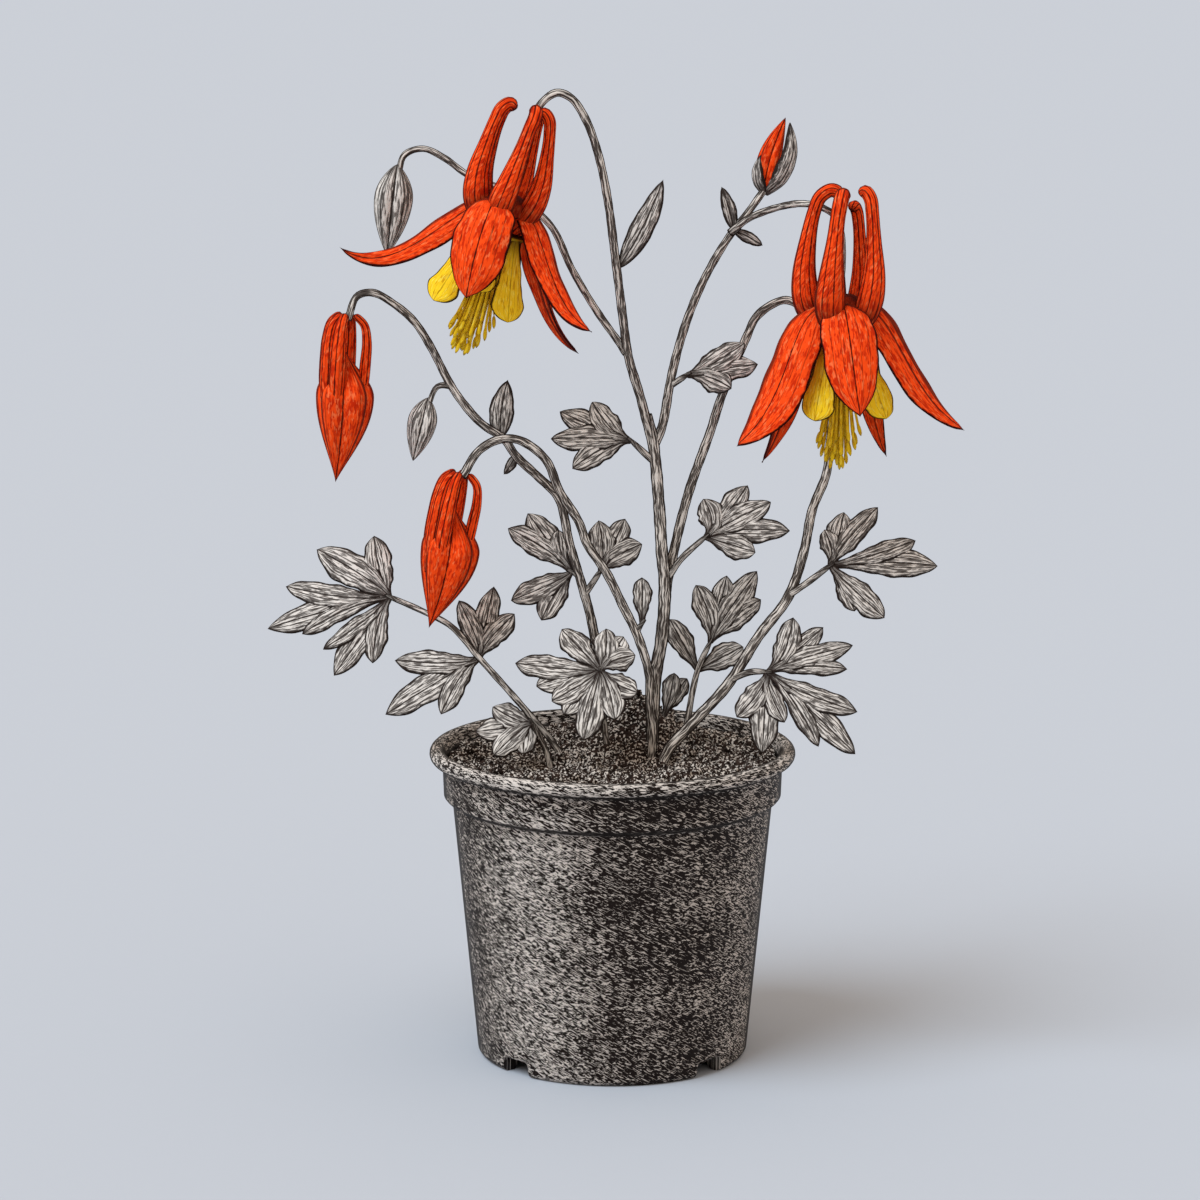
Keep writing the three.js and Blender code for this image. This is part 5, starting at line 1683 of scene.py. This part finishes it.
@dataclass(frozen=True)
class Hang:
    """The frame of a nodding flower: its centre, and its tilt from the upright towards +X in degrees."""

    centre: Point
    tilt: float

    def axis(self) -> Array:
        """The direction of the flower's axis, up towards its stalk."""
        tilt = math.radians(self.tilt)
        return np.array([math.sin(tilt), 0, math.cos(tilt)])

    def outward(self, azimuth: Array) -> Array:
        """The direction square to the axis at an azimuth.

        Args:
            azimuth: azimuths in degrees; 0 looks to the front and 90 to the right.

        Returns:
            The direction for each.
        """
        tilt, angle = math.radians(self.tilt), np.radians(azimuth)
        right = np.array([math.cos(tilt), 0, -math.sin(tilt)])
        return np.sin(angle)[..., None] * right - np.cos(angle)[..., None] * Y_AXIS

    def at(self, distance: Array, azimuth: Array, height: Array) -> Array:
        """The points at some distances from the axis, azimuths and heights.

        Args:
            distance: distances from the axis.
            azimuth: azimuths in degrees.
            height: heights along the axis.

        Returns:
            The point for each.
        """
        distance, azimuth, height = np.broadcast_arrays(*np.atleast_1d(distance, azimuth, height))
        out = np.array(self.centre) + distance[..., None] * self.outward(azimuth)
        return out + height[..., None] * self.axis()

    def bar(self, places: Sequence, step: float, radii: Sequence[float], end: float) -> tuple[Array, ...]:
        """A bar's path and radius, with its end rounded off.

        Args:
            places: distances, azimuths and heights of the path's stops.
            step: distance between two points.
            radii: the radius at evenly spaced places.
            end: length of the rounded end.

        Returns:
            The points, and each one's distance from the start and from the end, and its radius.
        """
        path, along = evenly(smooth_curve(self.at(*places)), step)
        left = along[-1] - along
        return path, along, left, on_stops(radii, along / along[-1]) * rounded_end(left, end)

    def turned(self, stops: Sequence[tuple[float, float]], sides: int, shade: float) -> Patch:
        """A body of revolution about the axis.

        Args:
            stops: radius and height of its section, from one end to the other.
            sides: points round the body.
            shade: share of darkening.

        Returns:
            The closed body.
        """
        section = evenly(np.array(stops, float), 0.6)[0]
        angle = np.linspace(0.0, 2 * np.pi, sides + 1)
        loops = self.at(section[:, :1], np.degrees(angle[None, :-1]), section[:, 1:])
        across, along = angle[None] * section[:, :1], run_along(section)[:, None]
        traits = corner_traits((len(section), sides + 1), across=across, along=along, shade=shade)
        return skin(loops, traits, *self.at(0.0, 0.0, section[[0, -1], 1]))


@dataclass(frozen=True)
class Sepal:
    """A sepal: the azimuth at its foot and at its tip, the roll of its face, the two handles and the tip of
    its middle line as distance from the axis and height, its width, the powers that narrow it to its tip
    and to its foot, and how fully it swells between them."""

    turn: tuple[float, float]
    roll: float
    handles: tuple[tuple[float, float], tuple[float, float]]
    tip: tuple[float, float]
    width: float
    taper: float
    rise: float = 0.55
    swell: float = 2.2

    def patch(self, hang: Hang, chance: float) -> Patch:
        """The sepal as a cupped strap along a Bezier curve of four stops.

        Args:
            hang: the flower's frame.
            chance: random share for the finish.

        Returns:
            The closed blade.
        """
        stops = np.array([(5.0, 0.0), *self.handles, self.tip])
        azimuth = np.linspace(self.turn[0], self.turn[1], 4)
        points = hang.at(stops[:, 0], azimuth, stops[:, 1])
        facing = hang.outward(np.array(np.mean(self.turn) + self.roll)) + 0.35 * hang.axis()

        def half_width(t: Array) -> Array:
            """Half the width: a power of the share run times one of the share left, eased off below one."""
            shape = self.swell * np.maximum(t, 0) ** self.rise * np.maximum(1 - t, 0) ** self.taper
            eased = shape / (1 + shape**6) ** (1 / 6)
            return self.width * 0.52 * eased + 0.3 * smooth(1.0, 0.95, t)

        return strap(lambda t: bezier(points, t), half_width, facing, Cut(), 64, 25, chance)


@dataclass(frozen=True)
class Spur:
    """A spur: its azimuth at the mouth and at the knob, and its height, hook and girth as shares of the
    pattern's."""

    mouth: float
    knob: float
    stretch: float
    hook: float
    girth: float = 1.0

    LINE = ((6.5, -7), (2, 0), (0.4, 9), (1, 20), (2.1, 29), (3.2, 33.4), (5.2, 35.4), (7.1, 34))
    RADII = (3.0, 4.2, 4.35, 3.7, 3.0, 2.4, 2.1, 2.2, 2.15)

    def patch(self, hang: Hang, ring_radius: float, chance: float) -> Patch:
        """The spur as a bar that narrows from its mouth to a knob that hooks in over the stalk.

        Args:
            hang: the flower's frame.
            ring_radius: distance of the spurs from its axis.
            chance: random share for the finish.

        Returns:
            The closed bar.
        """
        pattern = np.array(self.LINE, float)
        azimuth = np.linspace(self.mouth, self.knob, len(pattern))
        height = np.where(pattern[:, 1] > 0, pattern[:, 1] * self.stretch, pattern[:, 1])
        hook = np.where(pattern[:, 1] > 0, self.hook, 1.0)
        places = (ring_radius - hook * pattern[:, 0], azimuth, height)
        path, along, left, radius = hang.bar(places, 0.55, self.RADII, 2.1)
        around = hang.outward(np.array((self.mouth + self.knob) / 2 + 90.0))
        dark = 0.75 * bell(along - 7.0, 4.0) + 0.3 * bell(left, 2.5)
        return tube(path, along, self.girth * radius, around, 32, Ribs(8, 0.018), chance, dark)


@dataclass(frozen=True)
class PetalBlade:
    """A yellow petal blade: its azimuth, the azimuth that it faces, how far its end is from the axis, and its
    length as a share of the flower's."""

    azimuth: float
    faces: float
    spread: float
    share: float

    START = (8.6, -9.6)
    WIDTH = 11.2
    CLAW = 3.0

    def patch(self, hang: Hang, whole: float, chance: float) -> Patch:
        """The blade as a strap that widens from a claw to a rounded end.

        Args:
            hang: the flower's frame.
            whole: length of a blade whose share is 1.
            chance: random share for the finish.

        Returns:
            The closed blade.
        """
        radius, top = self.START
        length = self.share * whole
        distance = np.array([radius, radius + 0.6, radius + 0.65 * (self.spread - radius), self.spread])
        height = top - length * np.array([0.0, 0.3, 0.7, 1.0])
        points = hang.at(distance, self.azimuth, height)

        def half_width(t: Array) -> Array:
            """Half the width: even growth to the full width, then a quarter ellipse."""
            grown = self.CLAW + (self.WIDTH - self.CLAW) * np.minimum(1, t * 1.25)
            return 0.5 * grown * np.sqrt(np.maximum(1 - (np.maximum(0, t - 0.77) / 0.235) ** 2, 0.0004))

        cut = Cut(cup=0.22, groove=0.12, wave=0.35)
        facing = hang.outward(np.array(self.faces))
        return strap(lambda t: bezier(points, t), half_width, facing, cut, 48, 21, chance)


@dataclass(frozen=True)
class Stamens:
    """The bundle of stamens in a flower: thin filaments that spread a little, each with a longish anther."""

    count: int = 34
    filament: float = 0.42
    anther: float = 0.66
    anther_length: float = 4.2
    spread: float = 7.6
    shortest: float = 0.8
    turn: float = 137.5

    def patches(self, hang: Hang, length: float, sway: float, rng: np.random.Generator) -> list[Patch]:
        """Stamens placed by the golden angle: the share of the radius is the root of the share of the count.

        Args:
            hang: the flower's frame.
            length: distance of the longest stamen's end below the flower's centre.
            sway: how far the ends swing to the flower's right.
            rng: source of the random shares.

        Returns:
            One bar for each stamen.
        """
        made = []
        for i in range(self.count):
            share = math.sqrt((i + 0.5) / self.count)
            azimuth = i * self.turn
            reach = length * (1 - (1 - self.shortest) * share**2) * rng.uniform(0.94, 1.0)
            out = self.spread * share
            distance = np.array([0.8 + share, 1.2 + out * 0.35, out * 0.8, out])
            height = np.array([-12.0, -reach * 0.6, -reach * 0.88, -reach])
            swing = sway * (height / length) ** 2
            middle = hang.at(distance, azimuth, height) + swing[:, None] * X_AXIS
            path, along = evenly(smooth_curve(middle), 0.7)
            left = along[-1] - along
            body = np.sqrt(np.maximum(1 - (2 * left / self.anther_length - 1) ** 2, 0))
            radius = np.where(left < self.anther_length, np.maximum(self.anther * body, 0.12), self.filament)
            dark = np.where(left < self.anther_length, 0.25, 0.0)
            made.append(tube(path, along, radius, Y_AXIS, 9, Ribs(3, 0.08), rng.uniform(), dark))
        return made


@dataclass(frozen=True)
class OpenFlower:
    """An open flower: five red spurs and sepals round a receptacle, and yellow petal blades round the
    stamens."""

    node: str
    hang: Hang
    spur_radius: float
    spurs: tuple[Spur, ...]
    sepals: tuple[Sepal, ...]
    blades: tuple[PetalBlade, ...]
    stamen_length: float
    stamen_sway: float
    blade_length: float
    stamens: Stamens = Stamens()

    BLADE_INSIDE = 3.6  # how much of a petal blade's length is hidden in the flower
    RECEPTACLE = ((4, 3.5), (9, 1), (9, -2.5), (5.5, -4.5))
    THROAT = ((8.5, -8.9), (9.5, -9.6), (8.5, -10.3), (3.4, -12.6), (2.4, -30))

    def build(self, seed: int) -> None:
        """Builds the red pieces and the yellow pieces.

        Args:
            seed: seed of the random shares.
        """
        rng = np.random.default_rng(seed)
        red_node, yellow_node = f"{self.node}_sepals_and_spurs", f"{self.node}_blades_and_stamens"
        red = [spur.patch(self.hang, self.spur_radius, rng.uniform()) for spur in self.spurs]
        red.append(self.hang.turned(self.RECEPTACLE, 40, shade=0.7))
        make_piece(f"{self.node}_spurs", red, SEPAL_FINISH, red_node)
        sepals = [sepal.patch(self.hang, rng.uniform()) for sepal in self.sepals]
        make_piece(f"{self.node}_sepals", sepals, SEPAL_FINISH, red_node)
        whole = self.blade_length - self.BLADE_INSIDE
        blades = [blade.patch(self.hang, whole, rng.uniform()) for blade in self.blades]
        make_piece(f"{self.node}_petal_blades", blades, BLADE_FINISH, yellow_node)
        bundle = self.stamens.patches(self.hang, self.stamen_length, self.stamen_sway, rng)
        bundle.append(self.hang.turned(self.THROAT, 32, shade=0.5))
        make_piece(f"{self.node}_stamens", bundle, BLADE_FINISH, yellow_node)


FLOWERS = (
    OpenFlower(
        node="flower_left",
        hang=Hang((-34, -20, 281), 13),
        spur_radius=11.2,
        spurs=(Spur(-16, 40, 0.87, 1), Spur(60, 87, 0.86, 1, 0.9), Spur(166, 140, 0.83, 1, 0.9),
               Spur(236, 236, 0.86, 1, 0.9), Spur(-76, -68, 0.88, 1.05)),
        sepals=(
            Sepal((-19, -15), 0, ((14, 8), (22.5, -14.5)), (19.5, -29.5), 19.2, 0.8, 1.2, 3.9),
            Sepal((60, 62), -22, ((15, 1), (21, -27)), (40, -31), 12, 0.8),
            Sepal((118, 118), 0, ((14, 0), (15, -30)), (38, -43), 16, 0.8),
            Sepal((186, 186), 0, ((15, 2), (20, -20)), (37, -30), 18, 0.8),
            Sepal((-93, -93), 45, ((15, -3), (29, -34)), (48, -25), 13.5, 1.15),
        ),
        blades=(PetalBlade(-14, 0, 10, 0.72), PetalBlade(42, 22, 13.5, 1), PetalBlade(130, 130, 11, 0.85),
                PetalBlade(202, 202, 11, 0.85), PetalBlade(-62, -25, 17, 0.95)),
        stamen_length=50.5,
        stamen_sway=-3.5,
        blade_length=29,
    ),
    OpenFlower(
        node="flower_right",
        hang=Hang((72, -20, 249), 0),
        spur_radius=12.4,
        spurs=(Spur(-27, 2, 1.0, 1, 1.12), Spur(47, 72, 1.02, 0.9, 1.0), Spur(143, 150, 0.87, 0.8, 0.9),
               Spur(190, 178, 0.9, 0.9, 0.9), Spur(-90, -90, 1.03, 1.75)),
        sepals=(
            Sepal((-3, 11), 0, ((15, 7), (23.5, -18)), (25.5, -32), 18.6, 0.95, 1.1, 4.1),
            Sepal((82, 82), -30, ((17.5, 1), (20, -27)), (39.5, -39), 17, 0.8),
            Sepal((156, 147), 0, ((15, 2), (17, -30)), (31, -52), 16, 1),
            Sepal((-130, -130), 0, ((15, 2), (17, -30)), (31, -53), 17, 0.8),
            Sepal((-60, -60), 20, ((20, 1), (16.5, -28)), (38.5, -42), 19, 0.78, 1.0, 3.2),
        ),
        blades=(PetalBlade(-33, -20, 16, 0.92), PetalBlade(58, 28, 16.5, 0.92),
                PetalBlade(126, 126, 12, 0.85), PetalBlade(198, 198, 12, 0.85),
                PetalBlade(-100, -100, 10, 0.7)),
        stamen_length=54,
        stamen_sway=-1.0,
        blade_length=31,
    ),
)


# ------------------------------------------------------ buds


@dataclass(frozen=True)
class Spindle:
    """A ridged spindle from top to tip: its widest radius and where that is, the height of its five ridges
    as a share of the radius, the depth of the grooves between them, how far its middle bows along X, and
    the powers that narrow it to its tip and to its top."""

    top: Point
    tip: Point
    radius: float
    widest: float = 0.38
    ridge: float = 0.1
    groove: float = 0.07
    bow: float = 0.0
    fall_power: float = 0.9
    rise_power: float = 0.75

    def patch(self, chance: float) -> Patch:
        """The spindle's skin.

        The radius grows by a power of a sine up to the widest place and shrinks by one of a cosine beyond
        it. It is multiplied by one plus the ridge times the cosine of five times the angle, less a
        bell-shaped groove where two sepals meet.

        Args:
            chance: random share for the finish.

        Returns:
            The closed body.
        """
        top, tip = np.array(self.top, float), np.array(self.tip, float)
        axis = unit(tip - top)
        across = unit(np.cross(Y_AXIS, axis))
        side = np.cross(axis, across)
        t = 0.5 - 0.5 * np.cos(np.pi * np.linspace(0.02, 0.99, 56))
        angle = np.linspace(0, 2 * np.pi, 61)
        local = (angle % (2 * np.pi / 5)) - np.pi / 5
        shape = 1 + self.ridge * np.cos(5 * angle) - self.groove * bell(local, 0.1)
        rise = np.sin(np.pi / 2 * np.minimum(t / self.widest, 1)) ** self.rise_power
        fall = np.cos(np.pi / 2 * np.clip((t - self.widest) / (1 - self.widest), 0, 1)) ** self.fall_power
        radius = self.radius * np.where(t < self.widest, rise, fall)
        centre = top + t[:, None] * (tip - top) + (self.bow * np.sin(np.pi * t))[:, None] * X_AXIS
        turned_to = np.cos(angle[:-1])[:, None] * side + np.sin(angle[:-1])[:, None] * across
        loops = centre[:, None] + (radius[:, None] * shape[None, :-1])[..., None] * turned_to[None]
        length = float(np.linalg.norm(tip - top))
        traits = corner_traits(
            (len(t), len(angle)),
            across=angle[None] * self.radius,
            along=(t * length)[:, None],
            chance=chance,
            line=np.abs(local)[None] * radius[:, None],
            side=angle[None] / (2 * np.pi / 5) * 2,
            shade=(0.45 * smooth(0.16, 0.0, t) + 0.4 * smooth(0.92, 1.0, t))[:, None],
        )
        return skin(loops, traits, top, tip)


@dataclass(frozen=True)
class ClosedFlower:
    """A closed red flower: a spindle with five ridges below five short spurs that close over the stalk."""

    node: str
    top: Point
    tip: Point
    radius: float
    bow: float

    LINE = ((5.2, 34), (6.5, 24), (6.8, 16), (6.8, 9.5), (5.6, 4.2), (2.2, 1))
    RADII = (1.7, 2.5, 2.9, 2.9, 2.6, 2.2, 1.8)
    PLACES = ((-13, 0.86), (92, 0.64), (172, 0.85), (240, 0.72), (-46, 0.76))
    BODY_START = 12.0  # distance of the body's top from the flower's
    BODY = {"widest": 0.36, "ridge": 0.09, "groove": 0.08, "fall_power": 1.2, "rise_power": 1.5}

    def build(self, seed: int) -> None:
        """Builds the body and its spurs as one piece.

        Args:
            seed: seed of the random shares.
        """
        rng = np.random.default_rng(seed)
        start, end = np.array(self.top, float), np.array(self.tip, float)
        length = float(np.linalg.norm(end - start))
        tilt = math.degrees(math.atan2(start[0] - end[0], start[2] - end[2]))
        hang = Hang(self.top, tilt)
        body_top = tuple(start + (end - start) * self.BODY_START / length)
        body = Spindle(body_top, self.tip, self.radius, bow=self.bow, **self.BODY)
        patches = [body.patch(rng.uniform())]
        pattern = np.array(self.LINE, float)
        for azimuth, girth in self.PLACES:
            places = (pattern[:, 0], azimuth, -pattern[:, 1])
            path, along, left, radius = hang.bar(places, 0.5, self.RADII, 1.8)
            around, dark = hang.outward(np.array(azimuth + 90.0)), 0.5 * bell(left, 2.0)
            patches.append(tube(path, along, girth * radius, around, 24, Ribs(6, 0.03), rng.uniform(), dark))
        make_piece(f"{self.node}_petals", patches, SEPAL_FINISH, self.node)


@dataclass(frozen=True)
class Bud:
    """A young bud of one spindle."""

    node: str
    spindle: Spindle
    finish: TissueFinish
    slot: Slot

    def build(self, seed: int) -> None:
        """Builds the bud as one piece."""
        chance = np.random.default_rng(seed).uniform()
        make_piece(f"{self.node}_skin", [self.spindle.patch(chance)], self.finish, self.node)


CLOSED_FLOWERS = (
    ClosedFlower("bud_red_upper", (-84, -16, 247), (-88.5, -16, 192), 8.8, 1.1),
    ClosedFlower("bud_red_lower", (-48, -18, 196.5), (-59, -18, 145), 9.0, 1.8),
)
BUDS = (
    Bud("bud_green_upper", Spindle((-69.3, 14, 291), (-73, 14, 261.5), 5.9), LEAF_FINISH, Slot.LEAF),
    Bud("bud_green_lower", Spindle((-59, -10, 218.5), (-64, -10, 198), 4.4), LEAF_FINISH, Slot.LEAF),
    Bud("bud_green_back", Spindle((64, 29, 239.5), (63.5, 29, 219), 4.4), LEAF_FINISH, Slot.LEAF),
    Bud("bud_green_right", Spindle((85.7, 30, 221.5), (86.5, 30, 202), 4.2), LEAF_FINISH, Slot.LEAF),
    Bud("bud_red_top", Spindle((48.5, 14, 282), (55.6, 14, 306), 3.6, bow=-1.2), SEPAL_FINISH, Slot.SEPAL),
)


# ---------------------------------------------------- studio


@dataclass(frozen=True)
class Studio:
    """A plain pale floor, one large soft key light from the upper left, an even fill, and the camera."""

    floor_rings: tuple[float, ...] = (0.3, 0.8, 2.0, 5.0, 12.0)
    floor_sides: int = 48
    floor_colour: Colour = (0.4845, 0.513, 0.566, 1.0)
    key_strength: float = 2.4
    key_colour: tuple[float, float, float] = (0.76, 0.89, 1.0)
    key_azimuth: float = -52.0
    key_elevation: float = 53.0
    key_softness: float = 40.0
    fill_strength: float = 0.8
    fill_colour: tuple[float, float, float] = (0.97, 0.85, 0.74)
    backdrop: Colour = (0.583, 0.624, 0.692, 1.0)
    camera_place: tuple[float, float, float] = (-0.00406, -1.27823, 0.38778)
    camera_pitch: float = 10.5
    lens: float = 120.0
    sensor: float = 36.0

    def build(self) -> None:
        """Sets up the floor, the lights, the world and the camera."""
        self._floor()
        self._lights()
        self._camera()
        bpy.context.scene.view_settings.view_transform = "Standard"

    def _floor(self) -> None:
        """A round floor: rings of points at growing distances from the middle."""
        radius, count = np.array(self.floor_rings)[:, None] / MM, self.floor_sides
        angle = np.arange(count)[None] * 2 * np.pi / count
        flat = np.broadcast_arrays(radius * np.cos(angle), radius * np.sin(angle), 0.0)
        points = np.stack(flat, axis=-1).reshape(-1, 3)
        k, i = np.meshgrid(np.arange(len(radius) - 1), np.arange(count), indexing="ij")
        steps = ((0, 0), (1, 0), (1, 1), (0, 1))
        quads = np.stack([(k + a) * count + (i + b) % count for a, b in steps], axis=-1).reshape(-1, 4)
        mesh = bpy.data.meshes.new("floor")
        mesh.from_pydata((points * MM).tolist(), [], [list(range(count)), *quads.tolist()])
        floor = bpy.data.objects.new("floor", mesh)
        bpy.context.scene.collection.objects.link(floor)
        material = bpy.data.materials.new("pale floor")
        material.use_nodes = True
        shader = material.node_tree.nodes["Principled BSDF"]
        shader.inputs["Base Color"].default_value = self.floor_colour
        shader.inputs["Roughness"].default_value = 1.0
        shader.inputs["Specular IOR Level"].default_value = 0.0
        mesh.materials.append(material)

    def _lights(self) -> None:
        """The key light shines from its azimuth left of the front, and the world gives the fill."""
        key = bpy.data.lights.new("key", "SUN")
        key.energy = self.key_strength
        key.color = self.key_colour
        key.angle = math.radians(self.key_softness)
        lamp = bpy.data.objects.new("key", key)
        lamp.rotation_euler = (math.radians(90.0 - self.key_elevation), 0.0, math.radians(self.key_azimuth))
        bpy.context.scene.collection.objects.link(lamp)
        world = bpy.data.worlds.new("studio")
        bpy.context.scene.world = world
        world.use_nodes = True
        world.node_tree.nodes.clear()
        graph = Graph(world.node_tree)
        even = {"Color": (*self.fill_colour, 1.0), "Strength": self.fill_strength}
        fill = graph.use("ShaderNodeBackground", even)
        seen = graph.use("ShaderNodeBackground", {"Color": self.backdrop, "Strength": 1.0})
        ray = graph.use("ShaderNodeLightPath", {}, "Is Camera Ray")
        graph.finish(graph.use("ShaderNodeMixShader", {0: ray, 1: fill, 2: seen}), "ShaderNodeOutputWorld")

    def _camera(self) -> None:
        """The camera looks along +Y, a little down."""
        data = bpy.data.cameras.new("camera")
        data.lens = self.lens
        data.sensor_width = self.sensor
        data.clip_end = 100.0
        camera = bpy.data.objects.new("camera", data)
        camera.location = self.camera_place
        camera.rotation_euler = (math.radians(90.0 - self.camera_pitch), 0.0, 0.0)
        bpy.context.scene.collection.objects.link(camera)
        bpy.context.scene.camera = camera


def main() -> None:
    logging.basicConfig(level=logging.INFO, format="%(message)s")
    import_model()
    Studio().build()
    pot = Pot()
    pot.build()
    Soil(pot).build()
    for seed, assembly in enumerate((*STEMS, *LEAVES, *FLOWERS, *CLOSED_FLOWERS, *BUDS)):
        assembly.build(seed)


if __name__ == "__main__":
    main()
